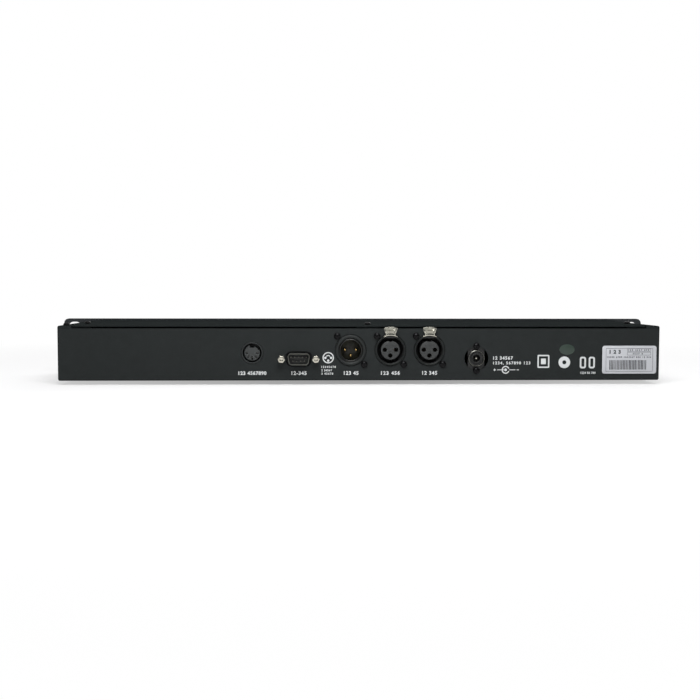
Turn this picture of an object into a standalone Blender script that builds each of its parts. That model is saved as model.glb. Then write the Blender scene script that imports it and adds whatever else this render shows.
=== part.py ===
"""A 19 inch rack recorder for lighting control signals, one unit high, as an assembly.

Metres, +Z up. The rear wall with the sockets faces +Y and the controls face -Y. The origin is
under the middle of the whole, on the surface that the feet stand on.
"""
import math

import bmesh
import bpy

# Rack panel
PANEL_WIDTH = 0.4826
PANEL_HEIGHT = 0.0440
PANEL_THICK = 0.0030
PANEL_CORNER = 0.0037
SLOT_INSET = 0.00875
SLOT_SPACING_Z = 0.03175
SLOT_WIDTH = 0.0102
SLOT_HEIGHT = 0.0068
EAR_WIDTH = 0.0213

# Folded case and its lid
BODY_HEIGHT = 0.0400
BODY_DEPTH = 0.1100
SHEET = 0.0012
BEND_RADIUS = 0.0012
LID_THICK = 0.0012
LID_INSET = 0.0105
LEDGE_DROP = 0.0010
LEDGE_WIDTH = 0.0140
REAR_SLIT = 0.0012
FRONT_FLANGE = 0.0100
FRONT_LIP = 0.0050
SEAT_GAP = 0.0003
FOOT_HEIGHT = 0.0030
FOOT_RADIUS = 0.0070
FOOT_INSET_X = 0.0300
FOOT_REAR = 0.0450
FOOT_FRONT = 0.0180

# Screws
SCREW_RADIUS = 0.0015
SCREW_HEAD_RADIUS = 0.0025
SCREW_HEAD_HEIGHT = 0.0018
SCREW_LENGTH = 0.0060
LID_SCREW_LENGTH = 0.0045
LID_SCREW_INSET_X = 0.0160
LID_SCREW_REAR = 0.0280
LID_MIDDLE_SCREW_X = -0.0044
LID_MIDDLE_SCREW_REAR = 0.0050
CORNER_SCREW_INSET = 0.0055
BRACKET_WIDTH = 0.0160
BRACKET_DEPTH = 0.0090
BRACKET_HEIGHT = 0.0032
PANEL_SCREW_INSET = 0.0050
PANEL_SCREW_RISE = 0.0120

# Three pole sockets
XLR_HEIGHT = 0.0222
DMX_IN_X = 0.0080
DMX_OUT_X = -0.0210
FX_OUT_X = -0.0496
XLR_HOUSING = 0.0260
XLR_DEPTH = 0.0200
XLR_RIM_RADIUS = 0.0113
XLR_RIM_REACH = 0.0012
XLR_CUP_RADIUS = 0.0084
XLR_CUP_DEPTH = 0.0145
XLR_SOCKET_RADIUS = 0.00975
XLR_SOCKET_DEPTH = 0.0140
XLR_INSERT_RADIUS = 0.0070
XLR_INSERT_RECESS = 0.0008
XLR_PIN_CIRCLE = 0.0041
XLR_PIN_RADIUS = 0.0012
XLR_PIN_LENGTH = 0.0105
XLR_BASE_THICK = 0.0015
XLR_CONTACT_HOLE = 0.0016
XLR_CONTACT_BORE = 0.0009
XLR_CONTACT_DEPTH = 0.0090
XLR_KEY_WIDTH = 0.0024
XLR_KEY_HEIGHT = 0.0010
XLR_SCREW_X = 0.0098
XLR_SCREW_Z = 0.0103

# Release lever of the female sockets
LATCH_SLOT_WIDTH = 0.0076
LATCH_WIDTH = 0.0060
LATCH_THICK = 0.0010
LATCH_RISE = 0.0111
LATCH_PIVOT_DEPTH = 0.0050
LATCH_HOOK_DEPTH = 0.0115
LATCH_HOOK_DROP = 0.0022
LATCH_TAB_STANDOFF = 0.0017
LATCH_TAB_TOP = 0.0174
LATCH_TAB_WIDTH = 0.0107
LATCH_TAB_WAIST = 0.0088
LATCH_LIP_RADIUS = 0.0102
TRUNNION_RADIUS = 0.0008
TRUNNION_PLAY = 0.0001
TRUNNION_REACH = 0.0012
LATCH_BOSS_RADIUS = 0.0013

# Five pole DIN socket
DIN_X = 0.0797
DIN_HEIGHT = 0.0203
DIN_WIDTH = 0.0180
DIN_TOP = 0.0092
DIN_DEPTH = 0.0130
DIN_BOSS_RADIUS = 0.0079
DIN_BOSS_REACH = 0.0006
DIN_BORE_RADIUS = 0.0068
DIN_BORE_DEPTH = 0.0090
DIN_INSERT_RADIUS = 0.0057
DIN_INSERT_RECESS = 0.0004
DIN_PIN_CIRCLE = 0.00375
DIN_HOLE_RADIUS = 0.0011
DIN_CONTACT_BORE = 0.0005
DIN_CONTACT_DEPTH = 0.0060
DIN_NOTCH_WIDTH = 0.0030
DIN_NOTCH_DEPTH = 0.0018
DIN_CONTACT_ANGLES = (180, 225, 270, 315, 360)

# Nine pole D socket
SERIAL_X = 0.0459
SERIAL_HEIGHT = 0.0158
SERIAL_SHELL_WIDTH = 0.0169
SERIAL_SHELL_HEIGHT = 0.0083
SERIAL_SHELL_CORNER = 0.0026
SERIAL_SHELL_WALL = 0.0005
SERIAL_SHELL_REACH = 0.0048
SERIAL_SIDE_SLOPE = 10
SERIAL_FLANGE_WIDTH = 0.0308
SERIAL_FLANGE_HEIGHT = 0.0125
SERIAL_FLANGE_THICK = 0.0010
SERIAL_CUTOUT_MARGIN = 0.0014
SERIAL_BLOCK_DEPTH = 0.0090
SERIAL_INSERT_RECESS = 0.0050
SERIAL_SCREW_SPACING = 0.0250
SERIAL_PIN_PITCH = 0.00277
SERIAL_ROW_SPACING = 0.00284
SERIAL_PIN_RADIUS = 0.0005
SERIAL_PIN_RECESS = 0.0008
JACKSCREW_FLATS = 0.0048
JACKSCREW_LENGTH = 0.0052
JACKSCREW_BORE = 0.0013
JACKSCREW_BORE_DEPTH = 0.0040

# Low voltage inlet
DC_X = -0.0842
DC_HEIGHT = 0.0162
DC_CUTOUT_RADIUS = 0.00885
DC_FLANGE_WIDTH = 0.0122
DC_FLANGE_HEIGHT = 0.0250
DC_FLANGE_THICK = 0.0020
DC_BARREL_RADIUS = 0.0058
DC_BARREL_DEPTH = 0.0120
DC_NOSE_RADIUS = 0.0037
DC_NOSE_RECESS = 0.0003
DC_BORE_RADIUS = 0.0028
DC_BORE_DEPTH = 0.0090
DC_RING_RADIUS = 0.0061
DC_RING_WALL = 0.0008
DC_RING_REACH = 0.0006
DC_PIN_RADIUS = 0.0010
DC_PIN_RECESS = 0.0015
DC_SCREW_SPACING = 0.0179

# Keys and lamps on the front
KEY_WIDTH = 0.0104
KEY_HEIGHT = 0.0084
KEY_REACH = 0.0022
KEY_RIM = 0.0011
KEY_RIM_THICK = 0.0010
KEY_STEM = 0.0034
KEY_TRAVEL = 0.0008
KEY_ROUNDING = 0.0006
PROGRAM_KEYS = 8
TRANSPORT_KEYS = 3
KEY_PITCH = 0.0150
KEY_ROW_DROP = 0.0030
TRANSPORT_PITCH = 0.0180
MENU_SPREAD = 0.0070
FOG_RADIUS = 0.0060
SWITCH_SIZE = 0.0060
SWITCH_HEIGHT = 0.0040
LAMP_RADIUS = 0.0015
LAMP_REACH = 0.0007
LAMP_RISE = 0.0110

# Wheel with its encoder
JOG_RADIUS = 0.0170
JOG_DEPTH = 0.0130
JOG_STANDOFF = 0.0008
JOG_ROUNDING = 0.0015
JOG_DIMPLE_RADIUS = 0.0055
JOG_DIMPLE_OFFSET = 0.0095
JOG_DIMPLE_DEPTH = 0.0016
JOG_POCKET_RADIUS = 0.0085
JOG_POCKET_DEPTH = 0.0036
JOG_SHAFT_RADIUS = 0.0030
JOG_SHAFT_PLAY = 0.0001
JOG_BUSH_RADIUS = 0.0035
JOG_BUSH_REACH = 0.0030
JOG_NUT_FLATS = 0.0100
JOG_NUT_THICK = 0.0020
ENCODER_SIZE = 0.0120

# Power rocker
ROCKER_RADIUS = 0.0085
ROCKER_WIDTH = 0.0100
ROCKER_TILT = 9
ROCKER_TIP = 0.0045
ROCKER_VALLEY = 0.0022
ROCKER_BACK = 0.0025
ROCKER_PIVOT_DEPTH = 0.0012
ROCKER_PIN_RADIUS = 0.0010
ROCKER_PLAY = 0.0003
SWITCH_WALL = 0.0008
SWITCH_FRAME_RIM = 0.0011
SWITCH_FRAME_THICK = 0.0015
SWITCH_BODY_DEPTH = 0.0160
SWITCH_POCKET_DEPTH = 0.0100
SWITCH_LUG_LENGTH = 0.0060

# Display
LENS_WIDTH = 0.0700
LENS_HEIGHT = 0.0200
LENS_THICK = 0.0020
LCD_FRAME_WIDTH = 0.0712
LCD_FRAME_HEIGHT = 0.0250
LCD_FRAME_DEPTH = 0.0063
LCD_VIEW_WIDTH = 0.0645
LCD_VIEW_HEIGHT = 0.0164
LCD_VIEW_DEPTH = 0.0006
LCD_BOARD_WIDTH = 0.0800
LCD_BOARD_HEIGHT = 0.0320

# Circuit boards and what carries them
BOARD_THICK = 0.0016
BOARD_CORNER = 0.0010
FRONT_BOARD_MARGIN = 0.0060
FRONT_BOARD_HEIGHT = 0.0320
MAIN_BOARD_MARGIN = 0.0080
MAIN_BOARD_DEPTH = 0.0800
MAIN_BOARD_REAR = 0.0030
SPACER_RADIUS = 0.0025
SPACER_RISE = 0.0120
SPACER_EDGE = 0.0030
HEADER_WIDTH = 0.0300
HEADER_THICK = 0.0080
HEADER_HEIGHT = 0.0087
HEADER_X = 0.0400
MAIN_HEADER_DEPTH = 0.0450
RIBBON_WIDTH = 0.0254
RIBBON_THICK = 0.0009
RIBBON_PULL = 0.0140
LEAD_RADIUS = 0.0014
LEAD_DEPTH = 0.0300
LEAD_RUN = 0.0060
LEAD_PULL = 0.0100

# Larger components, as place along X, distance from the rear edge, width, length and height
CHIPS = (
    (0.0140, 0.0400, 0.0140, 0.0140, 0.0016),
    (-0.0060, 0.0400, 0.0180, 0.0080, 0.0026),
    (-0.0060, 0.0560, 0.0180, 0.0080, 0.0026),
    (0.0040, 0.0270, 0.0100, 0.0050, 0.0020),
    (-0.0210, 0.0270, 0.0100, 0.0050, 0.0020),
    (-0.0500, 0.0270, 0.0100, 0.0050, 0.0020),
    (0.0700, 0.0300, 0.0200, 0.0080, 0.0034),
    (-0.0520, 0.0620, 0.0120, 0.0120, 0.0060),
)
# Round ones, as place along X, distance from the rear edge, radius and height
CANS = (
    (-0.0360, 0.0620, 0.0050, 0.0120),
    (-0.0360, 0.0480, 0.0040, 0.0100),
    (0.0800, 0.0560, 0.0100, 0.0050),
)

# Places that follow from the sizes above
BODY_WIDTH = PANEL_WIDTH - 2 * EAR_WIDTH
SLOT_REACH = PANEL_WIDTH / 2 - SLOT_INSET
FLOOR_Z = FOOT_HEIGHT
TOP_Z = FLOOR_Z + BODY_HEIGHT
MIDDLE_Z = FLOOR_Z + BODY_HEIGHT / 2
FRONT_REACH = JOG_STANDOFF + JOG_DEPTH
REAR_REACH = SEAT_GAP + JACKSCREW_LENGTH
REAR_Y = (SEAT_GAP + BODY_DEPTH + PANEL_THICK + FRONT_REACH - REAR_REACH) / 2
FRONT_Y = REAR_Y - BODY_DEPTH
PANEL_BACK_Y = FRONT_Y - SEAT_GAP
PANEL_FRONT_Y = PANEL_BACK_Y - PANEL_THICK
WALL_Y = REAR_Y - SHEET
SEAT_Y = WALL_Y - SEAT_GAP
LEDGE_TOP = TOP_Z - LEDGE_DROP
LID_BOTTOM = LEDGE_TOP + SEAT_GAP
REAR_EDGE_Z = LID_BOTTOM - REAR_SLIT
RECESS_HALF = BODY_WIDTH / 2 - LID_INSET + SEAT_GAP
LID_HALF = BODY_WIDTH / 2 - LID_INSET
LEDGE_INNER = RECESS_HALF - LEDGE_WIDTH
XLR_Z = FLOOR_Z + XLR_HEIGHT
DIN_Z = FLOOR_Z + DIN_HEIGHT
SERIAL_Z = FLOOR_Z + SERIAL_HEIGHT
DC_Z = FLOOR_Z + DC_HEIGHT
MAIN_BOARD_TOP = XLR_Z - XLR_HOUSING / 2 - SEAT_GAP
SWITCH_TOP_DEPTH = SEAT_GAP + KEY_RIM_THICK + KEY_STEM + KEY_TRAVEL + SEAT_GAP
FRONT_BOARD_DEPTH = SWITCH_TOP_DEPTH + SWITCH_HEIGHT
KEY_SPAN = KEY_WIDTH + 2 * KEY_RIM
PROGRAM_SPAN = (PROGRAM_KEYS - 1) * KEY_PITCH + KEY_SPAN
TRANSPORT_SPAN = (TRANSPORT_KEYS - 1) * TRANSPORT_PITCH + KEY_SPAN
SWITCH_WIDTH = ROCKER_WIDTH + 2 * ROCKER_PLAY + 2 * SWITCH_WALL
SWITCH_TALL = 2 * (ROCKER_RADIUS + ROCKER_PLAY + SWITCH_WALL)
MAIN_BOARD_LEFT = FX_OUT_X - XLR_HOUSING / 2 - MAIN_BOARD_MARGIN
MAIN_BOARD_RIGHT = DIN_X + DIN_WIDTH / 2 + MAIN_BOARD_MARGIN
KEY_Z = MIDDLE_Z - KEY_ROW_DROP
LAMP_Z = MIDDLE_Z + LAMP_RISE
PASS = 0.0010
OVERLAP = 0.0002
MERGE = 0.00001
FLAT = 0.001
SCREW_HOLE = SCREW_RADIUS + SEAT_GAP

# Widths of the groups of controls, from left to right
GROUPS = {
    "rocker": SWITCH_WIDTH + 2 * SWITCH_FRAME_RIM,
    "display": LCD_BOARD_WIDTH,
    "menu": KEY_SPAN,
    "wheel": 2 * JOG_RADIUS,
    "program": PROGRAM_SPAN,
    "transport": TRANSPORT_SPAN,
    "fog": 2 * (FOG_RADIUS + KEY_RIM),
}
CONTROLS_WIDTH = BODY_WIDTH - 2 * FRONT_FLANGE
GROUP_GAP = (CONTROLS_WIDTH - sum(GROUPS.values())) / (len(GROUPS) + 1)

FINE = 26
ROUND = 20
SMALL = 10
TINY = 8

FINISHES = {
    "black powder coat": ((0.022, 0.026, 0.027), 0.5, 0.0),
    "black panel paint": ((0.028, 0.030, 0.032), 0.4, 0.0),
    "black zinc": ((0.020, 0.020, 0.021), 0.3, 0.7),
    "nickel": ((0.62, 0.60, 0.55), 0.25, 1.0),
    "die cast, dark": ((0.055, 0.058, 0.058), 0.35, 0.4),
    "brass": ((0.60, 0.44, 0.20), 0.3, 1.0),
    "steel": ((0.55, 0.55, 0.56), 0.3, 1.0),
    "black plastic": ((0.018, 0.018, 0.018), 0.45, 0.0),
    "grey key plastic": ((0.35, 0.36, 0.37), 0.5, 0.0),
    "red key plastic": ((0.45, 0.03, 0.02), 0.45, 0.0),
    "smoked acrylic": ((0.02, 0.03, 0.03), 0.08, 0.0),
    "display": ((0.10, 0.16, 0.05), 0.3, 0.0),
    "green board": ((0.02, 0.12, 0.05), 0.45, 0.0),
    "component black": ((0.02, 0.02, 0.02), 0.5, 0.0),
    "lamp red": ((0.5, 0.02, 0.01), 0.2, 0.0),
    "black rubber": ((0.02, 0.02, 0.02), 0.85, 0.0),
    "grey ribbon": ((0.35, 0.36, 0.38), 0.55, 0.0),
}


def middle_of(group):
    """The place along X of a group of controls. The gaps between the groups are equal."""
    left = GROUP_GAP - CONTROLS_WIDTH / 2
    for name, width in GROUPS.items():
        if name == group:
            return left + width / 2
        left += width + GROUP_GAP
    raise KeyError(group)


ROCKER_X = middle_of("rocker")
LCD_X = middle_of("display")
MENU_X = middle_of("menu")
JOG_X = middle_of("wheel")
PROGRAM_X = middle_of("program") - PROGRAM_SPAN / 2 + KEY_SPAN / 2
TRANSPORT_X = middle_of("transport") - TRANSPORT_SPAN / 2 + KEY_SPAN / 2
FOG_X = middle_of("fog")
FRONT_BOARD_LEFT = MENU_X - KEY_SPAN / 2 - FRONT_BOARD_MARGIN
FRONT_BOARD_RIGHT = FOG_X + FOG_RADIUS + KEY_RIM + FRONT_BOARD_MARGIN


def clear_scene():
    for obj in list(bpy.data.objects):
        bpy.data.objects.remove(obj, do_unlink=True)


def collection(name):
    found = bpy.data.collections.get(name)
    if found is None:
        found = bpy.data.collections.new(name)
        bpy.context.scene.collection.children.link(found)
    return found


def finish(name):
    """A plain material of the given finish, made once."""
    material = bpy.data.materials.get(name)
    if material is None:
        colour, roughness, metallic = FINISHES[name]
        material = bpy.data.materials.new(name)
        material.use_nodes = True
        shader = material.node_tree.nodes["Principled BSDF"]
        shader.inputs["Base Color"].default_value = (*colour, 1.0)
        shader.inputs["Roughness"].default_value = roughness
        shader.inputs["Metallic"].default_value = metallic
    return material


def place(name, mesh, finish_name, location=(0, 0, 0), rotation=(0, 0, 0)):
    """An object in the parts' collection, or a hidden cutter where no finish is named."""
    obj = bpy.data.objects.new(name, mesh)
    obj.location = location
    obj.rotation_euler = rotation
    if finish_name is None:
        collection("cutters").objects.link(obj)
        obj.hide_render = True
        obj.display_type = "WIRE"
    else:
        collection("rack recorder").objects.link(obj)
        mesh.materials.clear()
        mesh.materials.append(finish(finish_name))
    return obj


def turn_to(axis):
    """The rotation that turns local +Z to the named axis."""
    quarter = math.pi / 2
    return {"+Z": (0, 0, 0), "+Y": (-quarter, 0, 0), "-Y": (quarter, 0, 0), "+X": (0, quarter, 0)}[axis]


def smooth(mesh):
    mesh.shade_smooth()
    mesh.set_sharp_from_angle(angle=math.radians(35))


def box(name, low, high, finish_name=None, rounding=0.0, rounding_steps=2):
    """A box between two corners."""
    size = [b - a for a, b in zip(low, high)]
    centre = [(a + b) / 2 for a, b in zip(low, high)]
    shape = bmesh.new()
    bmesh.ops.create_cube(shape, size=1.0)
    bmesh.ops.scale(shape, vec=size, verts=shape.verts)
    mesh = bpy.data.meshes.new(name)
    shape.to_mesh(mesh)
    shape.free()
    obj = place(name, mesh, finish_name, centre)
    if rounding:
        bevel = obj.modifiers.new("rounding", "BEVEL")
        bevel.width = rounding
        bevel.segments = rounding_steps
    return obj


def rod(name, radius, start, length, axis, finish_name=None, sides=ROUND):
    """A cylinder, or a prism of few sides, that runs from start along the axis."""
    shape = bmesh.new()
    bmesh.ops.create_cone(shape, cap_ends=True, segments=sides, radius1=radius, radius2=radius, depth=length)
    bmesh.ops.translate(shape, vec=(0, 0, length / 2), verts=shape.verts)
    mesh = bpy.data.meshes.new(name)
    shape.to_mesh(mesh)
    shape.free()
    smooth(mesh)
    return place(name, mesh, finish_name, start, turn_to(axis))


def turned(name, profile, start, axis, finish_name=None, steps=ROUND, closed=False):
    """A turned shape. The profile is (radius, height) pairs down the outer side."""
    mesh = bpy.data.meshes.new(name)
    points = [(radius, 0, height) for radius, height in profile]
    edges = [(i, i + 1) for i in range(len(points) - 1)]
    if closed:
        edges.append((len(points) - 1, 0))
    mesh.from_pydata(points, edges, [])
    obj = place(name, mesh, finish_name, start, turn_to(axis))
    screw = obj.modifiers.new("turn", "SCREW")
    screw.axis = "Z"
    screw.angle = math.tau
    screw.steps = steps
    screw.render_steps = steps
    screw.use_merge_vertices = True
    screw.merge_threshold = MERGE
    return obj


def tube_profile(outer, inner, length):
    return [(outer, length), (outer, 0), (inner, 0), (inner, length)]


def arc(centre, radius, start, stop, steps):
    """Points along an arc, with the angles in degrees."""
    points = []
    for step in range(steps + 1):
        angle = math.radians(start + (stop - start) * step / steps)
        points.append((centre[0] + radius * math.cos(angle), centre[1] + radius * math.sin(angle)))
    return points


def circle(centre, radius, steps):
    return arc(centre, radius, 0, 360, steps)[:-1]


def rounded_rectangle(centre, width, height, radius, corner_steps=3):
    """An outline that runs round the four corner arcs."""
    x, z = width / 2 - radius, height / 2 - radius
    corners = ((x, z, 0), (-x, z, 90), (-x, -z, 180), (x, -z, 270))
    points = []
    for corner_x, corner_z, angle in corners:
        middle = (centre[0] + corner_x, centre[1] + corner_z)
        points += arc(middle, radius, angle, angle + 90, corner_steps)
    return points


def stadium(centre, width, height, end_steps=6):
    """A slot outline with round ends."""
    radius = min(width, height) / 2
    x, z = width / 2 - radius, height / 2 - radius
    if width > height:
        ends = ((x, 0, -90), (-x, 0, 90))
    else:
        ends = ((0, z, 0), (0, -z, 180))
    points = []
    for end_x, end_z, angle in ends:
        points += arc((centre[0] + end_x, centre[1] + end_z), radius, angle, angle + 180, end_steps)
    return points


def d_outline(centre, width, height, radius, corner_steps=3):
    """The outline of a D shell: wide at the top, with sides that lean in."""
    lean = math.radians(SERIAL_SIDE_SLOPE)
    z = height / 2 - radius
    top_x = width / 2 - radius
    low_x = top_x - 2 * z * math.tan(lean)
    slope = SERIAL_SIDE_SLOPE
    corners = (
        (top_x, z, -slope, 90),
        (-top_x, z, 90, 180 + slope),
        (-low_x, -z, 180 + slope, 270),
        (low_x, -z, 270, 360 - slope),
    )
    points = []
    for corner_x, corner_z, start, stop in corners:
        middle = (centre[0] + corner_x, centre[1] + corner_z)
        points += arc(middle, radius, start, stop, corner_steps)
    return points


def plate(name, outlines, low, thickness, facing, finish_name=None):
    """A flat piece from closed outlines, the inner ones being holes.

    Facing +Z, the outlines are (x, y) and the piece rises from low. Facing +Y, they are (x, z)
    and the piece runs from low along +Y. Facing +X, they are (y, z) and it runs along +X.
    """
    curve = bpy.data.curves.new(name, "CURVE")
    curve.dimensions = "2D"
    curve.fill_mode = "BOTH"
    curve.extrude = thickness / 2
    for outline in outlines:
        spline = curve.splines.new("POLY")
        spline.points.add(len(outline) - 1)
        spline.use_cyclic_u = True
        for point, (u, v) in zip(spline.points, outline):
            point.co = (u, v, 0, 1)
    drawing = bpy.data.objects.new(name + " outline", curve)
    middle = low + thickness / 2
    quarter = math.pi / 2
    if facing == "+Z":
        drawing.location = (0, 0, middle)
    elif facing == "+Y":
        drawing.location = (0, middle, 0)
        drawing.rotation_euler = (quarter, 0, 0)
    else:
        drawing.location = (middle, 0, 0)
        drawing.rotation_euler = (quarter, 0, quarter)
    obj = mesh_of_curve(drawing, name, finish_name)
    return obj


def mesh_of_curve(drawing, name, finish_name):
    """Turns a curve object into a closed mesh object with the same place."""
    bpy.context.scene.collection.objects.link(drawing)
    bpy.context.view_layer.update()
    evaluated = drawing.evaluated_get(bpy.context.evaluated_depsgraph_get())
    mesh = bpy.data.meshes.new_from_object(evaluated)
    mesh.name = name
    shape = bmesh.new()
    shape.from_mesh(mesh)
    bmesh.ops.remove_doubles(shape, verts=shape.verts, dist=MERGE)
    bmesh.ops.dissolve_limit(shape, angle_limit=FLAT, verts=shape.verts, edges=shape.edges)
    bmesh.ops.recalc_face_normals(shape, faces=shape.faces)
    shape.to_mesh(mesh)
    shape.free()
    obj = place(name, mesh, finish_name)
    obj.matrix_world = drawing.matrix_world.copy()
    curve = drawing.data
    bpy.data.objects.remove(drawing)
    bpy.data.curves.remove(curve)
    return obj


def boolean(target, tool, operation, solver="EXACT"):
    modifier = target.modifiers.new(operation.lower(), "BOOLEAN")
    modifier.operation = operation
    modifier.solver = solver
    modifier.object = tool
    return target


def cut(target, *tools):
    for tool in tools:
        boolean(target, tool, "DIFFERENCE")
    return target


def join(target, *tools):
    for tool in tools:
        boolean(target, tool, "UNION")
    return target


def group(name, pieces):
    """One hidden tool that holds several separate solids, each given as a finished object."""
    bpy.context.view_layer.update()
    depsgraph = bpy.context.evaluated_depsgraph_get()
    shape = bmesh.new()
    for piece in pieces:
        part = bpy.data.meshes.new_from_object(piece.evaluated_get(depsgraph))
        part.transform(piece.matrix_world)
        shape.from_mesh(part)
        bpy.data.meshes.remove(part)
    for piece in pieces:
        bpy.data.objects.remove(piece)
    mesh = bpy.data.meshes.new(name)
    shape.to_mesh(mesh)
    shape.free()
    return place(name, mesh, None)


def holes(name, places, radius, low, length, axis, sides):
    """A cutter of several equal cylinders. The places are points across the axis."""
    tools = []
    for u, v in places:
        start = (u, low, v) if axis == "+Y" else (u, v, low)
        tools.append(rod(name, radius, start, length, axis, sides=sides))
    return group(name, tools)


def cap_screw(name, place_at, axis, finish_name=None, length=SCREW_LENGTH):
    """A pan head screw whose head stands on the given point."""
    head, height, shank = SCREW_HEAD_RADIUS, SCREW_HEAD_HEIGHT, SCREW_RADIUS
    profile = [(0, height), (0.62 * head, height), (head, 0.45 * height), (head, 0)]
    profile += [(shank, 0), (shank, -length), (0, -length)]
    return turned(name, profile, place_at, axis, finish_name, steps=10)


def spots_of_xlr_screws(x):
    return ((x + XLR_SCREW_X, XLR_Z + XLR_SCREW_Z), (x - XLR_SCREW_X, XLR_Z - XLR_SCREW_Z))


def spots_of_serial_screws():
    half = SERIAL_SCREW_SPACING / 2
    return ((SERIAL_X - half, SERIAL_Z), (SERIAL_X + half, SERIAL_Z))


def spots_of_dc_screws():
    half = DC_SCREW_SPACING / 2
    return ((DC_X, DC_Z - half), (DC_X, DC_Z + half))


def spots_of_lid_screws():
    """Places on the lid, as (x, y)."""
    side = BODY_WIDTH / 2 - LID_SCREW_INSET_X
    back = REAR_Y - LID_SCREW_REAR
    return ((side, back), (-side, back), (LID_MIDDLE_SCREW_X, REAR_Y - LID_MIDDLE_SCREW_REAR))


def spot_of_corner_screw():
    inset = (LID_INSET - SEAT_GAP) / 2 + SHEET / 2
    return (BODY_WIDTH / 2 - inset, REAR_Y - CORNER_SCREW_INSET)


def spots_of_panel_screws():
    side = BODY_WIDTH / 2 - PANEL_SCREW_INSET
    return tuple((x, MIDDLE_Z + rise) for x in (-side, side) for rise in (-PANEL_SCREW_RISE, PANEL_SCREW_RISE))


def spots_of_feet():
    side = BODY_WIDTH / 2 - FOOT_INSET_X
    return tuple((x, y) for x in (-side, side) for y in (FRONT_Y + FOOT_FRONT, REAR_Y - FOOT_REAR))


def spots_of_main_spacers():
    left, right = MAIN_BOARD_LEFT + SPACER_EDGE, MAIN_BOARD_RIGHT - SPACER_EDGE
    back = WALL_Y - MAIN_BOARD_REAR - MAIN_BOARD_DEPTH / 2
    front = WALL_Y - MAIN_BOARD_REAR - MAIN_BOARD_DEPTH + SPACER_EDGE
    return tuple((x, y) for x in (left, right) for y in (front, back))


def spots_of_front_spacers():
    left, right = FRONT_BOARD_LEFT + SPACER_EDGE, FRONT_BOARD_RIGHT - SPACER_EDGE
    between = JOG_X + JOG_RADIUS + GROUP_GAP / 2
    rises = (-SPACER_RISE, SPACER_RISE)
    return tuple((x, MIDDLE_Z + rise) for x in (left, between, right) for rise in rises)


def spots_of_lcd_spacers():
    half = LCD_BOARD_WIDTH / 2 - SPACER_RADIUS
    return tuple((LCD_X + x, MIDDLE_Z + rise) for x in (-half, half) for rise in (-SPACER_RISE, SPACER_RISE))


def keys():
    """Name, x, z and finish of each rectangular key."""
    rows = []
    for number in range(PROGRAM_KEYS):
        name = f"program_key_{number + 1}"
        rows.append((name, PROGRAM_X + number * KEY_PITCH, KEY_Z, "grey key plastic"))
    rows.append(("key_record", TRANSPORT_X, KEY_Z, "red key plastic"))
    rows.append(("key_play", TRANSPORT_X + TRANSPORT_PITCH, KEY_Z, "grey key plastic"))
    rows.append(("key_stop", TRANSPORT_X + 2 * TRANSPORT_PITCH, KEY_Z, "grey key plastic"))
    rows.append(("key_menu", MENU_X, MIDDLE_Z + MENU_SPREAD, "grey key plastic"))
    rows.append(("key_enter", MENU_X, MIDDLE_Z - MENU_SPREAD, "grey key plastic"))
    return rows


def spots_of_lamps():
    spots = [(PROGRAM_X + number * KEY_PITCH, LAMP_Z) for number in range(PROGRAM_KEYS)]
    spots += [(TRANSPORT_X + number * TRANSPORT_PITCH, LAMP_Z) for number in range(2)]
    return spots


def make_chassis():
    """The folded tray: bottom, walls, stepped side flanges, front flanges and a low front lip."""
    half = BODY_WIDTH / 2
    under_ledge = LEDGE_TOP - SHEET
    tray = box("chassis", (-half, FRONT_Y, FLOOR_Z), (half, REAR_Y, TOP_Z), "black powder coat", BEND_RADIUS)
    inner = half - SHEET
    cut(
        tray,
        box("cavity", (-inner, FRONT_Y + SHEET, FLOOR_Z + SHEET), (inner, WALL_Y, under_ledge)),
        box("lid recess", (-RECESS_HALF, FRONT_Y - PASS, LEDGE_TOP), (RECESS_HALF, REAR_Y + PASS, TOP_Z + PASS)),
        box("rear slit", (-RECESS_HALF, SEAT_Y, REAR_EDGE_Z), (RECESS_HALF, REAR_Y + PASS, TOP_Z + 2 * PASS)),
        box("top opening", (-LEDGE_INNER, FRONT_Y - PASS, under_ledge - PASS), (LEDGE_INNER, WALL_Y, TOP_Z)),
        box(
            "front mouth",
            (FRONT_FLANGE - half, FRONT_Y - PASS, FLOOR_Z + FRONT_LIP),
            (half - FRONT_FLANGE, FRONT_Y + SHEET + PASS, under_ledge),
        ),
    )
    for side in (-1, 1):
        ends = sorted((side * (RECESS_HALF + SHEET), side * inner))
        low = (ends[0], FRONT_Y + SHEET, under_ledge - PASS)
        cut(tray, box("under flange", low, (ends[1], WALL_Y, TOP_Z - SHEET)))
    join(tray, *lid_bracket())
    cut_rear_wall(tray)
    cut(
        tray,
        holes("lid screw holes", spots_of_lid_screws(), SCREW_HOLE, under_ledge - PASS, 3 * PASS, "+Z", TINY),
        holes("corner screw hole", [spot_of_corner_screw()], SCREW_HOLE, TOP_Z - 3 * PASS, 4 * PASS, "+Z", TINY),
        holes("panel screw holes", spots_of_panel_screws(), SCREW_HOLE, FRONT_Y - PASS, 4 * PASS, "+Y", TINY),
    )
    return tray


def lid_bracket():
    """The small angle inside the rear wall that takes the lid's middle screw."""
    left = LID_MIDDLE_SCREW_X - BRACKET_WIDTH / 2
    right = LID_MIDDLE_SCREW_X + BRACKET_WIDTH / 2
    low = LEDGE_TOP - BRACKET_HEIGHT
    leg = box("bracket leg", (left, WALL_Y - SHEET, low), (right, WALL_Y + OVERLAP, REAR_EDGE_Z - OVERLAP))
    shelf_low = (left, WALL_Y - BRACKET_DEPTH, LEDGE_TOP - SHEET - OVERLAP)
    shelf = box("bracket shelf", shelf_low, (right, SEAT_Y, LEDGE_TOP))
    return leg, shelf


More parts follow.
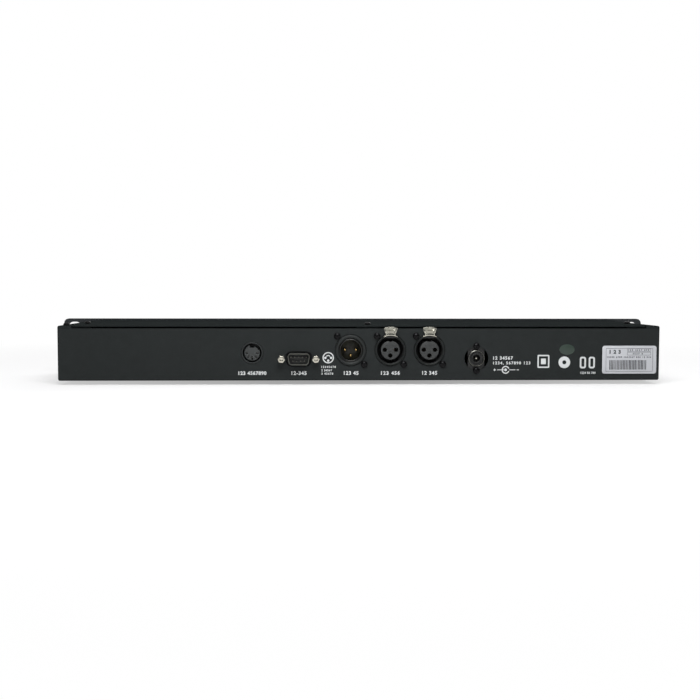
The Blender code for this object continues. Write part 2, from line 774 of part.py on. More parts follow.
def cut_rear_wall(tray):
    """Openings for every socket and screw in the rear wall."""
    low, length = WALL_Y - PASS, SHEET + 2 * PASS
    sockets = [(DMX_IN_X, XLR_Z), (DMX_OUT_X, XLR_Z), (FX_OUT_X, XLR_Z)]
    cut(
        tray,
        holes("xlr openings", sockets, XLR_RIM_RADIUS + SEAT_GAP, low, length, "+Y", FINE),
        holes("din opening", [(DIN_X, DIN_Z)], DIN_BOSS_RADIUS + SEAT_GAP, low, length, "+Y", ROUND),
        holes("dc opening", [(DC_X, DC_Z)], DC_CUTOUT_RADIUS, low, length, "+Y", ROUND),
    )
    for x in (DMX_OUT_X, FX_OUT_X):
        reach = LATCH_SLOT_WIDTH / 2 + SEAT_GAP
        top = XLR_Z + LATCH_RISE + LATCH_THICK
        cut(tray, box("latch notch", (x - reach, low, XLR_Z), (x + reach, low + length, top)))
    margin = 2 * SERIAL_CUTOUT_MARGIN
    outline = d_outline(
        (SERIAL_X, SERIAL_Z),
        SERIAL_SHELL_WIDTH + margin,
        SERIAL_SHELL_HEIGHT + margin,
        SERIAL_SHELL_CORNER + SERIAL_CUTOUT_MARGIN,
    )
    cut(tray, plate("serial opening", [outline], low, length, "+Y"))
    spots = [*spots_of_serial_screws(), *spots_of_dc_screws()]
    for x in (DMX_IN_X, DMX_OUT_X, FX_OUT_X):
        spots += spots_of_xlr_screws(x)
    cut(tray, holes("socket screw holes", spots, SCREW_HOLE, low, length, "+Y", TINY))


def make_lid():
    """The flat lid between the side flanges."""
    front, back = PANEL_BACK_Y + SEAT_GAP, REAR_Y - SEAT_GAP
    outline = rounded_rectangle((0, (front + back) / 2), 2 * LID_HALF, back - front, SHEET)
    openings = [circle(spot, SCREW_HOLE, SMALL) for spot in spots_of_lid_screws()]
    return plate("top_cover", [outline, *openings], LID_BOTTOM, LID_THICK, "+Z", "black powder coat")


def make_lid_screws():
    """Three screws in the lid, and one in the flange at the rear corner."""
    top = LID_BOTTOM + LID_THICK + SEAT_GAP
    for name, (x, y) in zip(("right", "left", "middle"), spots_of_lid_screws()):
        cap_screw("cover_screw_" + name, (x, y, top), "+Z", "black zinc", LID_SCREW_LENGTH)
    x, y = spot_of_corner_screw()
    cap_screw("corner_screw", (x, y, TOP_Z + SEAT_GAP), "+Z", "black zinc", LID_SCREW_LENGTH)


def make_front_panel():
    """The rack plate with its four slots, the display window and the holes for the controls."""
    outlines = [rounded_rectangle((0, MIDDLE_Z), PANEL_WIDTH, PANEL_HEIGHT, PANEL_CORNER)]
    for x in (-SLOT_REACH, SLOT_REACH):
        for rise in (-SLOT_SPACING_Z / 2, SLOT_SPACING_Z / 2):
            outlines.append(stadium((x, MIDDLE_Z + rise), SLOT_WIDTH, SLOT_HEIGHT))
    width, height = LENS_WIDTH + 2 * SEAT_GAP, LENS_HEIGHT + 2 * SEAT_GAP
    outlines.append(rounded_rectangle((LCD_X, MIDDLE_Z), width, height, PANEL_CORNER / 3, 2))
    for _, x, z, _ in keys():
        outlines.append(key_outline((x, z), SEAT_GAP))
    outlines.append(circle((FOG_X, MIDDLE_Z), FOG_RADIUS + SEAT_GAP, ROUND))
    outlines.append(circle((JOG_X, MIDDLE_Z), JOG_BUSH_RADIUS + SEAT_GAP, ROUND))
    width, height = SWITCH_WIDTH + 2 * SEAT_GAP, SWITCH_TALL + 2 * SEAT_GAP
    outlines.append(rounded_rectangle((ROCKER_X, MIDDLE_Z), width, height, SHEET / 2, 1))
    outlines += [circle(spot, LAMP_RADIUS + SEAT_GAP, TINY) for spot in spots_of_lamps()]
    panel = plate("front_panel", outlines, PANEL_FRONT_Y, PANEL_THICK, "+Y", "black panel paint")
    head = PANEL_FRONT_Y + OVERLAP
    screws = [cap_screw("panel screw", (x, head, z), "-Y") for x, z in spots_of_panel_screws()]
    return boolean(panel, group("panel screws", screws), "UNION", "MANIFOLD")


def make_feet():
    """Four rubber feet with a sunk middle underneath."""
    top = FOOT_HEIGHT - SEAT_GAP
    small, sunk = 0.86 * FOOT_RADIUS, 0.35 * FOOT_RADIUS
    profile = [(0, top), (FOOT_RADIUS, top), (FOOT_RADIUS, 0.3 * top), (small, 0)]
    profile += [(sunk, 0), (0.8 * sunk, 0.3 * top), (0, 0.3 * top)]
    names = ("front_left", "rear_left", "front_right", "rear_right")
    for name, (x, y) in zip(names, spots_of_feet()):
        turned("foot_" + name, profile, (x, y, 0), "+Z", "black rubber", 20)


def xlr_housing(prefix, x):
    """The square housing behind the wall, with its round rim in the opening and its two screws."""
    half = XLR_HOUSING / 2
    low = (x - half, SEAT_Y - XLR_DEPTH, XLR_Z - half)
    housing = box(prefix + "_body", low, (x + half, SEAT_Y, XLR_Z + half), "die cast, dark")
    edge = XLR_RIM_REACH / 4
    length = REAR_Y + XLR_RIM_REACH - SEAT_Y + PASS
    profile = [(0, length), (XLR_RIM_RADIUS - edge, length), (XLR_RIM_RADIUS, length - edge)]
    profile += [(XLR_RIM_RADIUS, 0), (0, 0)]
    join(housing, turned(prefix + " rim", profile, (x, SEAT_Y - PASS, XLR_Z), "+Y", steps=FINE))
    spots = spots_of_xlr_screws(x)
    depth = SCREW_LENGTH + PASS
    cut(housing, holes(prefix + " screw holes", spots, SCREW_HOLE, SEAT_Y - depth, depth + PASS, "+Y", TINY))
    for name, (screw_x, screw_z) in zip(("upper", "lower"), spots):
        cap_screw(f"{prefix}_screw_{name}", (screw_x, REAR_Y + SEAT_GAP, screw_z), "+Y", "black zinc")
    return housing


def bore(name, x, z, radius, depth, sides=FINE):
    """A cutter that opens to the rear, its floor at the given depth behind the wall's face."""
    return rod(name, radius, (x, REAR_Y - depth, z), depth + 4 * PASS, "+Y", sides=sides)


def make_dmx_in():
    """The male socket: an open cup with a key rib, and an insert with three pins."""
    body = xlr_housing("dmx_in", DMX_IN_X)
    floor = REAR_Y - XLR_CUP_DEPTH
    cut(body, bore("male cup", DMX_IN_X, XLR_Z, XLR_CUP_RADIUS, XLR_CUP_DEPTH))
    half = XLR_KEY_WIDTH / 2
    insert_front = floor + SEAT_GAP + XLR_BASE_THICK
    low = (DMX_IN_X - half, insert_front + SEAT_GAP, XLR_Z + XLR_CUP_RADIUS - XLR_KEY_HEIGHT)
    high = (DMX_IN_X + half, REAR_Y - XLR_KEY_HEIGHT, XLR_Z + XLR_CUP_RADIUS + XLR_KEY_HEIGHT)
    join(body, box("key rib", low, high))
    base = rod(
        "dmx_in_insert", XLR_CUP_RADIUS - SEAT_GAP, (DMX_IN_X, floor + SEAT_GAP, XLR_Z),
        XLR_BASE_THICK, "+Y", "black plastic", FINE,
    )
    tip = XLR_PIN_RADIUS / 2
    length = XLR_PIN_LENGTH + OVERLAP
    profile = [(0, length), (XLR_PIN_RADIUS - tip, length), (XLR_PIN_RADIUS, length - tip)]
    profile += [(XLR_PIN_RADIUS, 0), (0, 0)]
    start = insert_front - OVERLAP
    pins = [turned("pin", profile, (x, start, z), "+Y", steps=SMALL) for x, z in spots_of_poles(DMX_IN_X)]
    join(base, group("pins", pins))
    return body


def spots_of_poles(x):
    """The three poles of a socket, two abreast and one below."""
    reach = XLR_PIN_CIRCLE
    return ((x + reach, XLR_Z), (x - reach, XLR_Z), (x, XLR_Z - reach))


def make_female_socket(prefix, x):
    """A female socket: housing with a ring shaped well, insert with contacts, and release lever."""
    body = xlr_housing(prefix, x)
    cut(body, bore(prefix + " well", x, XLR_Z, XLR_SOCKET_RADIUS, XLR_SOCKET_DEPTH))
    half = LATCH_SLOT_WIDTH / 2
    low = (x - half, REAR_Y - XLR_SOCKET_DEPTH, XLR_Z + LATCH_RISE - LATCH_HOOK_DROP)
    high = (x + half, REAR_Y + 2 * PASS, XLR_Z + XLR_HOUSING / 2 + PASS)
    cut(body, box(prefix + " lever slot", low, high))
    reach = half + TRUNNION_REACH + SEAT_GAP
    pivot = (x - reach, REAR_Y - LATCH_PIVOT_DEPTH, XLR_Z + LATCH_RISE)
    hole = TRUNNION_RADIUS + TRUNNION_PLAY
    cut(body, rod(prefix + " trunnion hole", hole, pivot, 2 * reach, "+X", sides=SMALL))
    make_female_insert(prefix, x)
    make_release_lever(prefix + "_latch", x)
    return body


def make_female_insert(prefix, x):
    floor = REAR_Y - XLR_SOCKET_DEPTH + SEAT_GAP
    length = XLR_SOCKET_DEPTH - SEAT_GAP - XLR_INSERT_RECESS + XLR_RIM_REACH
    edge = XLR_INSERT_RADIUS / 20
    profile = [(0, length), (XLR_INSERT_RADIUS - edge, length), (XLR_INSERT_RADIUS, length - edge)]
    profile += [(XLR_INSERT_RADIUS, 0), (0, 0)]
    insert = turned(prefix + "_insert", profile, (x, floor, XLR_Z), "+Y", "black plastic", FINE)
    depth = XLR_CONTACT_DEPTH
    front = floor + length
    poles = spots_of_poles(x)
    cut(insert, holes(prefix + " contact holes", poles, XLR_CONTACT_HOLE, front - depth, depth + PASS, "+Y", SMALL))
    half = XLR_KEY_WIDTH / 2 + SEAT_GAP
    low = (x - half, floor - PASS, XLR_Z + XLR_INSERT_RADIUS - XLR_KEY_HEIGHT)
    cut(insert, box(prefix + " key way", low, (x + half, front + PASS, XLR_Z + XLR_INSERT_RADIUS + PASS)))
    outer = XLR_CONTACT_HOLE - SEAT_GAP
    profile = tube_profile(outer, XLR_CONTACT_BORE, depth - 3 * SEAT_GAP)
    start = front - depth - OVERLAP
    tubes = [turned("contact", profile, (px, start, pz), "+Y", steps=SMALL, closed=True) for px, pz in poles]
    return join(insert, group(prefix + " contacts", tubes))


def latch_tab_outline(x):
    """The fan shaped tab above the socket, with a flared lip that follows the round opening."""
    top, waist = LATCH_TAB_WIDTH / 2, LATCH_TAB_WAIST / 2
    outer = LATCH_LIP_RADIUS + LATCH_THICK
    inner_reach = math.degrees(math.asin(top / LATCH_LIP_RADIUS))
    outer_reach = math.degrees(math.asin(top / outer))
    waist_reach = math.degrees(math.asin(waist / outer))
    radius = LATCH_THICK
    points = arc((x + top - radius, XLR_Z + LATCH_TAB_TOP - radius), radius, -20, 90, 3)
    points += arc((x - top + radius, XLR_Z + LATCH_TAB_TOP - radius), radius, 90, 200, 3)
    points += arc((x, XLR_Z), outer, 90 + waist_reach, 90 + outer_reach, 1)
    points += arc((x, XLR_Z), LATCH_LIP_RADIUS, 90 + inner_reach, 90 - inner_reach, 6)
    points += arc((x, XLR_Z), outer, 90 - outer_reach, 90 - waist_reach, 1)
    return points


def make_release_lever(name, x):
    """A rocking lever: press its tab down and the hook at the inner end lifts."""
    tab_y = REAR_Y + LATCH_TAB_STANDOFF
    lever = plate(name, [latch_tab_outline(x)], tab_y, LATCH_THICK, "+Y", "nickel")
    half = LATCH_WIDTH / 2
    low_z, high_z = XLR_Z + LATCH_RISE - LATCH_THICK / 2, XLR_Z + LATCH_RISE + LATCH_THICK / 2
    inner = REAR_Y - LATCH_HOOK_DEPTH
    arm = box(name + " arm", (x - half, inner, low_z), (x + half, tab_y + LATCH_THICK / 2, high_z))
    hook_low = (x - half, inner + OVERLAP, XLR_Z + LATCH_RISE - LATCH_HOOK_DROP + SEAT_GAP)
    hook = box(name + " hook", hook_low, (x + half - OVERLAP, inner + LATCH_THICK, high_z - OVERLAP))
    reach = LATCH_SLOT_WIDTH / 2 + TRUNNION_REACH
    pivot_y, pivot_z = REAR_Y - LATCH_PIVOT_DEPTH, XLR_Z + LATCH_RISE
    pin = rod(name + " pin", TRUNNION_RADIUS, (x - reach, pivot_y, pivot_z), 2 * reach, "+X", sides=SMALL)
    width = half - OVERLAP
    boss = rod(name + " boss", LATCH_BOSS_RADIUS, (x - width, pivot_y, pivot_z), 2 * width, "+X", sides=SMALL)
    return join(lever, arm, hook, boss, pin)


def make_din_socket():
    """The five pole socket: a shell, and an insert with a notch and contacts on half a circle."""
    half = DIN_WIDTH / 2
    back = SEAT_Y - DIN_DEPTH
    low = (DIN_X - half, back, MAIN_BOARD_TOP + SEAT_GAP)
    shell = box("din_shell", low, (DIN_X + half, SEAT_Y, DIN_Z + DIN_TOP), "black plastic")
    length = REAR_Y + DIN_BOSS_REACH - SEAT_Y + PASS
    boss = rod("din boss", DIN_BOSS_RADIUS, (DIN_X, SEAT_Y - PASS, DIN_Z), length, "+Y", sides=FINE)
    cut(join(shell, boss), bore("din bore", DIN_X, DIN_Z, DIN_BORE_RADIUS, DIN_BORE_DEPTH))
    floor = REAR_Y - DIN_BORE_DEPTH + SEAT_GAP
    front = REAR_Y + DIN_BOSS_REACH - DIN_INSERT_RECESS
    insert = rod("din_insert", DIN_INSERT_RADIUS, (DIN_X, floor, DIN_Z), front - floor, "+Y", "black plastic", FINE)
    spots = []
    for angle in DIN_CONTACT_ANGLES:
        turn = math.radians(angle)
        spots.append((DIN_X + DIN_PIN_CIRCLE * math.cos(turn), DIN_Z + DIN_PIN_CIRCLE * math.sin(turn)))
    depth = DIN_CONTACT_DEPTH
    notch_low = (DIN_X - DIN_NOTCH_WIDTH / 2, front - depth, DIN_Z + DIN_INSERT_RADIUS - DIN_NOTCH_DEPTH)
    notch_high = (DIN_X + DIN_NOTCH_WIDTH / 2, front + PASS, DIN_Z + DIN_INSERT_RADIUS + PASS)
    cut(
        insert,
        holes("din contact holes", spots, DIN_HOLE_RADIUS, front - depth, depth + PASS, "+Y", 10),
        box("din notch", notch_low, notch_high),
    )
    profile = tube_profile(DIN_HOLE_RADIUS - SEAT_GAP, DIN_CONTACT_BORE, depth - 3 * SEAT_GAP)
    start = front - depth - OVERLAP
    tubes = [turned("contact", profile, (x, start, z), "+Y", steps=TINY, closed=True) for x, z in spots]
    join(insert, group("din contacts", tubes))
    return shell


def make_serial_socket():
    """The nine pole socket: pressed shell on a flange, insulator with pins, and two jack screws."""
    centre = (SERIAL_X, SERIAL_Z)
    back = SEAT_Y - SERIAL_FLANGE_THICK
    front = REAR_Y + SERIAL_SHELL_REACH
    wall = SERIAL_SHELL_WALL
    outer = d_outline(centre, SERIAL_SHELL_WIDTH, SERIAL_SHELL_HEIGHT, SERIAL_SHELL_CORNER)
    inner_size = (SERIAL_SHELL_WIDTH - 2 * wall, SERIAL_SHELL_HEIGHT - 2 * wall, SERIAL_SHELL_CORNER - wall)
    inner = d_outline(centre, *inner_size)
    flange = rounded_rectangle(centre, SERIAL_FLANGE_WIDTH, SERIAL_FLANGE_HEIGHT, SHEET)
    screw_holes = [circle(spot, SCREW_HOLE, SMALL) for spot in spots_of_serial_screws()]
    shell = plate("serial_shell", [flange, inner, *screw_holes], back, SERIAL_FLANGE_THICK, "+Y", "nickel")
    join(shell, plate("serial hood", [outer, inner], back + OVERLAP, front - back - OVERLAP, "+Y"))
    gap = SEAT_GAP
    core = d_outline(centre, inner_size[0] - 2 * gap, inner_size[1] - 2 * gap, inner_size[2] - gap)
    face = front - SERIAL_INSERT_RECESS
    block_back = back - gap - SERIAL_BLOCK_DEPTH
    width = SERIAL_SCREW_SPACING - 2 * SCREW_HOLE - 2 * gap
    block = plate("serial_insert", [core], block_back + OVERLAP, face - block_back - OVERLAP, "+Y", "black plastic")
    low = (SERIAL_X - width / 2, block_back, MAIN_BOARD_TOP + gap)
    high = (SERIAL_X + width / 2, back - gap, SERIAL_Z + SERIAL_FLANGE_HEIGHT / 2)
    join(block, box("serial block", low, high), serial_pins(face - OVERLAP, front - SERIAL_PIN_RECESS))
    make_jackscrews()
    return shell


def serial_pins(start, tip):
    """The nine pins in a row of five over a row of four."""
    pins = []
    for count, rise in ((5, SERIAL_ROW_SPACING / 2), (4, -SERIAL_ROW_SPACING / 2)):
        for number in range(count):
            x = SERIAL_X + (number - (count - 1) / 2) * SERIAL_PIN_PITCH
            spot = (x, start, SERIAL_Z + rise)
            pins.append(rod("serial pin", SERIAL_PIN_RADIUS, spot, tip - start, "+Y", sides=TINY))
    return group("serial pins", pins)


def make_jackscrews():
    """Hexagon posts with a threaded bore, on shanks through wall and flange."""
    radius = JACKSCREW_FLATS / math.sqrt(3)
    for name, (x, z) in zip(("left", "right"), spots_of_serial_screws()):
        head = REAR_Y + SEAT_GAP
        post = rod("serial_jackscrew_" + name, radius, (x, head, z), JACKSCREW_LENGTH, "+Y", "nickel", 6)
        shank = rod("jack shank", SCREW_RADIUS, (x, head - SCREW_LENGTH, z), SCREW_LENGTH + PASS, "+Y", sides=SMALL)
        start = (x, head + JACKSCREW_LENGTH - JACKSCREW_BORE_DEPTH, z)
        hole = rod("jack bore", JACKSCREW_BORE, start, JACKSCREW_BORE_DEPTH + PASS, "+Y", sides=SMALL)
        cut(join(post, shank), hole)


def make_dc_inlet():
    """The low voltage inlet on its upright flange, with a sleeve, a nose and a centre pin."""
    flange_back = SEAT_Y - DC_FLANGE_THICK
    openings = [circle(spot, SCREW_HOLE, SMALL) for spot in spots_of_dc_screws()]
    outline = stadium((DC_X, DC_Z), DC_FLANGE_WIDTH, DC_FLANGE_HEIGHT)
    body = plate("dc_jack_body", [outline, *openings], flange_back, DC_FLANGE_THICK, "+Y", "black plastic")
    barrel_start = (DC_X, flange_back - DC_BARREL_DEPTH, DC_Z)
    barrel = rod("dc barrel", DC_BARREL_RADIUS, barrel_start, DC_BARREL_DEPTH + PASS, "+Y")
    face = REAR_Y - DC_NOSE_RECESS
    nose = rod("dc nose", DC_NOSE_RADIUS, (DC_X, SEAT_Y - PASS, DC_Z), face - SEAT_Y + PASS, "+Y")
    join(body, barrel, nose)
    cut(body, bore("dc bore", DC_X, DC_Z, DC_BORE_RADIUS, DC_BORE_DEPTH, ROUND))
    ring_start = SEAT_Y + SEAT_GAP
    profile = tube_profile(DC_RING_RADIUS, DC_RING_RADIUS - DC_RING_WALL, REAR_Y + DC_RING_REACH - ring_start)
    turned("dc_jack_ring", profile, (DC_X, ring_start, DC_Z), "+Y", "nickel", FINE, closed=True)
    floor = REAR_Y - DC_BORE_DEPTH - OVERLAP
    join(body, rod("dc pin", DC_PIN_RADIUS, (DC_X, floor, DC_Z), face - DC_PIN_RECESS - floor, "+Y", sides=SMALL))
    for name, (x, z) in zip(("lower", "upper"), spots_of_dc_screws()):
        cap_screw("dc_screw_" + name, (x, REAR_Y + SEAT_GAP, z), "+Y", "black zinc")
    return body


def key_outline(centre, margin):
    """The outline of a key, grown by the margin."""
    width, height = KEY_WIDTH + 2 * margin, KEY_HEIGHT + 2 * margin
    return rounded_rectangle(centre, width, height, KEY_ROUNDING + margin, 1)


def make_key(name, x, z, finish_name):
    """A key cap through the panel, with a rim behind it and a stem to its switch."""
    cap_front = PANEL_FRONT_Y - KEY_REACH
    rim_front = PANEL_BACK_Y + SEAT_GAP
    centre = (x, z)
    cap = plate(name, [key_outline(centre, 0)], cap_front, rim_front + OVERLAP - cap_front, "+Y", finish_name)
    rim = plate(name + " rim", [key_outline(centre, KEY_RIM)], rim_front, KEY_RIM_THICK, "+Y")
    half = KEY_STEM / 2
    low = (x - half, rim_front + OVERLAP, z - half)
    stem = box(name + " stem", low, (x + half, rim_front + KEY_RIM_THICK + KEY_STEM, z + half))
    return join(cap, rim, stem)


def make_fog_key():
    """The round key, turned in one piece with its rim and stem."""
    cap_front = PANEL_FRONT_Y - KEY_REACH
    rim = PANEL_BACK_Y + SEAT_GAP - cap_front
    rim_radius = FOG_RADIUS + KEY_RIM
    length = rim + KEY_RIM_THICK + KEY_STEM
    profile = [(0, 0), (FOG_RADIUS - KEY_ROUNDING, 0), (FOG_RADIUS, -KEY_ROUNDING), (FOG_RADIUS, -rim)]
    profile += [(rim_radius, -rim), (rim_radius, -rim - KEY_RIM_THICK), (KEY_STEM / 2, -rim - KEY_RIM_THICK)]
    profile += [(KEY_STEM / 2, -length), (0, -length)]
    return turned("key_fog", profile, (FOG_X, cap_front, MIDDLE_Z), "-Y", "red key plastic", ROUND)


def make_keys():
    for name, x, z, finish_name in keys():
        make_key(name, x, z, finish_name)
    make_fog_key()


def key_switches():
    """A push switch on the board behind each key."""
    half = SWITCH_SIZE / 2
    low_y = PANEL_BACK_Y + SWITCH_TOP_DEPTH
    switches = []
    for x, z in [(row[1], row[2]) for row in keys()] + [(FOG_X, MIDDLE_Z)]:
        high = (x + half, low_y + SWITCH_HEIGHT + OVERLAP, z + half)
        switches.append(box("switch", (x - half, low_y, z - half), high))
    return switches


def status_lamps():
    """Lamps that look through the panel, each on a spacer from the board."""
    front = PANEL_FRONT_Y - LAMP_REACH
    length = PANEL_BACK_Y + FRONT_BOARD_DEPTH + OVERLAP - front
    dome = LAMP_RADIUS / 2
    profile = [(0, 0), (LAMP_RADIUS - dome, -0.3 * dome), (LAMP_RADIUS, -dome), (LAMP_RADIUS, -length), (0, -length)]
    return [turned("lamp", profile, (x, front, z), "-Y", steps=TINY) for x, z in spots_of_lamps()]


def make_jog():
    """The encoder against the panel's back with its threaded bush and nut, and the wheel."""
    half = ENCODER_SIZE / 2
    body_front = PANEL_BACK_Y + SEAT_GAP
    low = (JOG_X - half, body_front, MIDDLE_Z - half)
    high = (JOG_X + half, PANEL_BACK_Y + FRONT_BOARD_DEPTH - SEAT_GAP, MIDDLE_Z + half)
    encoder = box("jog_encoder", low, high, "steel")
    bush_front = PANEL_FRONT_Y - JOG_BUSH_REACH
    bush_back = (JOG_X, body_front + PASS, MIDDLE_Z)
    bush = rod("bush", JOG_BUSH_RADIUS, bush_back, bush_back[1] - bush_front, "-Y")
    bore_back = (JOG_X, body_front + 4 * PASS, MIDDLE_Z)
    bore_radius = JOG_SHAFT_RADIUS + JOG_SHAFT_PLAY
    cut(join(encoder, bush), rod("bush bore", bore_radius, bore_back, bore_back[1] - bush_front + PASS, "-Y"))
    make_jog_nut()
    wheel_front = PANEL_FRONT_Y - JOG_STANDOFF - JOG_DEPTH
    return make_wheel(wheel_front, bore_back[1] - SEAT_GAP - wheel_front)


def make_jog_nut():
    radius = JOG_NUT_FLATS / math.sqrt(3)
    start = (JOG_X, PANEL_FRONT_Y - SEAT_GAP, MIDDLE_Z)
    nut = rod("jog_nut", radius, start, JOG_NUT_THICK, "-Y", "steel", 6)
    bore_start = (JOG_X, PANEL_FRONT_Y + PASS, MIDDLE_Z)
    hole = rod("nut bore", JOG_BUSH_RADIUS + SEAT_GAP, bore_start, JOG_NUT_THICK + 3 * PASS, "-Y")
    return cut(nut, hole)


def make_wheel(front, shaft_length):
    """The wheel with its shaft: a rounded rim, a pocket over the nut and a finger dimple."""
    radius, edge, depth = JOG_RADIUS, JOG_ROUNDING, JOG_DEPTH
    shaft = JOG_SHAFT_RADIUS
    profile = [(0, 0), (radius - edge, 0), (radius - 0.3 * edge, -0.3 * edge), (radius, -edge), (radius, -depth)]
    profile += [(JOG_POCKET_RADIUS, -depth), (JOG_POCKET_RADIUS, JOG_POCKET_DEPTH - depth)]
    profile += [(shaft, JOG_POCKET_DEPTH - depth), (shaft, -shaft_length), (0, -shaft_length)]
    wheel = turned("jog_wheel", profile, (JOG_X, front, MIDDLE_Z), "-Y", "black plastic", 40)
    ball = (JOG_DIMPLE_RADIUS ** 2 + JOG_DIMPLE_DEPTH ** 2) / (2 * JOG_DIMPLE_DEPTH)
    shape = bmesh.new()
    bmesh.ops.create_uvsphere(shape, u_segments=16, v_segments=16, radius=ball)
    mesh = bpy.data.meshes.new("dimple")
    shape.to_mesh(mesh)
    shape.free()
    spot = (JOG_X, front - ball + JOG_DIMPLE_DEPTH, MIDDLE_Z + JOG_DIMPLE_OFFSET)
    return cut(wheel, place("dimple", mesh, None, spot, turn_to("-Y")))


def make_power_switch():
    """The snap-in switch: a framed body with a pocket, and two connection lugs behind."""
    width, height = SWITCH_WIDTH, SWITCH_TALL
    back = PANEL_BACK_Y + SWITCH_BODY_DEPTH
    frame_front = PANEL_FRONT_Y - SEAT_GAP - SWITCH_FRAME_THICK
    low = (ROCKER_X - width / 2, frame_front + OVERLAP, MIDDLE_Z - height / 2)
    high = (ROCKER_X + width / 2, back, MIDDLE_Z + height / 2)
    body = box("power_switch_body", low, high, "black plastic")
    centre = (ROCKER_X, MIDDLE_Z)
    rim = 2 * SWITCH_FRAME_RIM
    frame = rounded_rectangle(centre, width + rim, height + rim, SWITCH_FRAME_RIM)
    join(body, plate("switch frame", [frame], frame_front, SWITCH_FRAME_THICK, "+Y"))
    half_x = ROCKER_WIDTH / 2 + ROCKER_PLAY
    half_z = ROCKER_RADIUS + ROCKER_PLAY
    pocket_low = (ROCKER_X - half_x, frame_front - PASS, MIDDLE_Z - half_z)
    pocket_high = (ROCKER_X + half_x, PANEL_FRONT_Y + SWITCH_POCKET_DEPTH, MIDDLE_Z + half_z)
    cut(body, box("switch pocket", pocket_low, pocket_high))
    pin_reach = half_x + SWITCH_WALL / 2
    pin_hole = ROCKER_PIN_RADIUS + TRUNNION_PLAY
    pivot = (ROCKER_X - pin_reach, PANEL_FRONT_Y + ROCKER_PIVOT_DEPTH, MIDDLE_Z)
    cut(body, rod("rocker pin hole", pin_hole, pivot, 2 * pin_reach, "+X", sides=SMALL))
    for rise in (-height / 4, height / 4):
        lug_low = (ROCKER_X - width / 4, back - OVERLAP, MIDDLE_Z + rise - SHEET / 2)
        lug_high = (ROCKER_X + width / 4, back + SWITCH_LUG_LENGTH, MIDDLE_Z + rise + SHEET / 2)
        join(body, box("switch lug", lug_low, lug_high))
    make_rocker()
    return body


def make_rocker():
    """The rocker: arcs about its pivot at both ends, and a shallow valley in front."""
    end_angle = math.degrees(math.asin(ROCKER_TIP / ROCKER_RADIUS))
    back_angle = math.degrees(math.asin(ROCKER_BACK / ROCKER_RADIUS))
    upper = arc((0, 0), ROCKER_RADIUS, 90 + end_angle, 90 - back_angle, 6)
    lower = arc((0, 0), ROCKER_RADIUS, back_angle - 90, -90 - end_angle, 6)
    outline = upper + lower + [(-ROCKER_VALLEY, 0)]
    tilt = math.radians(ROCKER_TILT)
    pivot_y = PANEL_FRONT_Y + ROCKER_PIVOT_DEPTH
    tilted = []
    for u, v in outline:
        y = pivot_y + u * math.cos(tilt) - v * math.sin(tilt)
        z = MIDDLE_Z + u * math.sin(tilt) + v * math.cos(tilt)
        tilted.append((y, z))
    rocker = plate("power_rocker", [tilted], ROCKER_X - ROCKER_WIDTH / 2, ROCKER_WIDTH, "+X", "black plastic")
    reach = ROCKER_WIDTH / 2 + ROCKER_PLAY + SWITCH_WALL / 2 - TRUNNION_PLAY
    start = (ROCKER_X - reach, pivot_y, MIDDLE_Z)
    return join(rocker, rod("rocker pin", ROCKER_PIN_RADIUS, start, 2 * reach, "+X", sides=SMALL))


def make_display():
    """The lens in the panel and the display module behind it."""
    lens = rounded_rectangle((LCD_X, MIDDLE_Z), LENS_WIDTH, LENS_HEIGHT, PANEL_CORNER / 3, 2)
    plate("lcd_window", [lens], PANEL_FRONT_Y, LENS_THICK, "+Y", "smoked acrylic")
    front = PANEL_BACK_Y + SEAT_GAP
    half_x, half_z = LCD_FRAME_WIDTH / 2, LCD_FRAME_HEIGHT / 2
    low = (LCD_X - half_x, front, MIDDLE_Z - half_z)
    high = (LCD_X + half_x, front + LCD_FRAME_DEPTH, MIDDLE_Z + half_z)
    frame = box("lcd_module", low, high, "display")
    board = rounded_rectangle((LCD_X, MIDDLE_Z), LCD_BOARD_WIDTH, LCD_BOARD_HEIGHT, BOARD_CORNER, 1)
    join(frame, plate("lcd board", [board], front + LCD_FRAME_DEPTH - OVERLAP, BOARD_THICK, "+Y"))
    posts = [rod("spacer", SPACER_RADIUS, (x, front, z), LCD_FRAME_DEPTH, "+Y", sides=SMALL) for x, z in spots_of_lcd_spacers()]
    join(frame, group("lcd spacers", posts))
    view_x, view_z = LCD_VIEW_WIDTH / 2, LCD_VIEW_HEIGHT / 2
    view_low = (LCD_X - view_x, front - PASS, MIDDLE_Z - view_z)
    view_high = (LCD_X + view_x, front + LCD_VIEW_DEPTH, MIDDLE_Z + view_z)
    return cut(frame, box("display view", view_low, view_high))


def make_front_board():
    """The upright board behind the panel with its spacers, switches, lamps and ribbon socket."""
    width = FRONT_BOARD_RIGHT - FRONT_BOARD_LEFT
    middle = (FRONT_BOARD_LEFT + FRONT_BOARD_RIGHT) / 2
    outline = rounded_rectangle((middle, MIDDLE_Z), width, FRONT_BOARD_HEIGHT, BOARD_CORNER, 1)
    front = PANEL_BACK_Y + FRONT_BOARD_DEPTH
    board = plate("front_board", [outline], front, BOARD_THICK, "+Y", "green board")
    start = PANEL_BACK_Y + SEAT_GAP
    length = FRONT_BOARD_DEPTH + BOARD_THICK + SCREW_HEAD_HEIGHT / 2 - SEAT_GAP
    pieces = []
    for x, z in spots_of_front_spacers():
        pieces.append(rod("spacer and screw", SPACER_RADIUS, (x, start, z), length, "+Y", sides=SMALL))
    half = HEADER_WIDTH / 2
    back = front + BOARD_THICK
    low = (HEADER_X - half, back - OVERLAP, MIDDLE_Z - HEADER_THICK / 2)
    high = (HEADER_X + half, back + HEADER_HEIGHT, MIDDLE_Z + HEADER_THICK / 2)
    pieces.append(box("ribbon socket", low, high))
    return join(board, group("front board parts", pieces + key_switches() + status_lamps()))


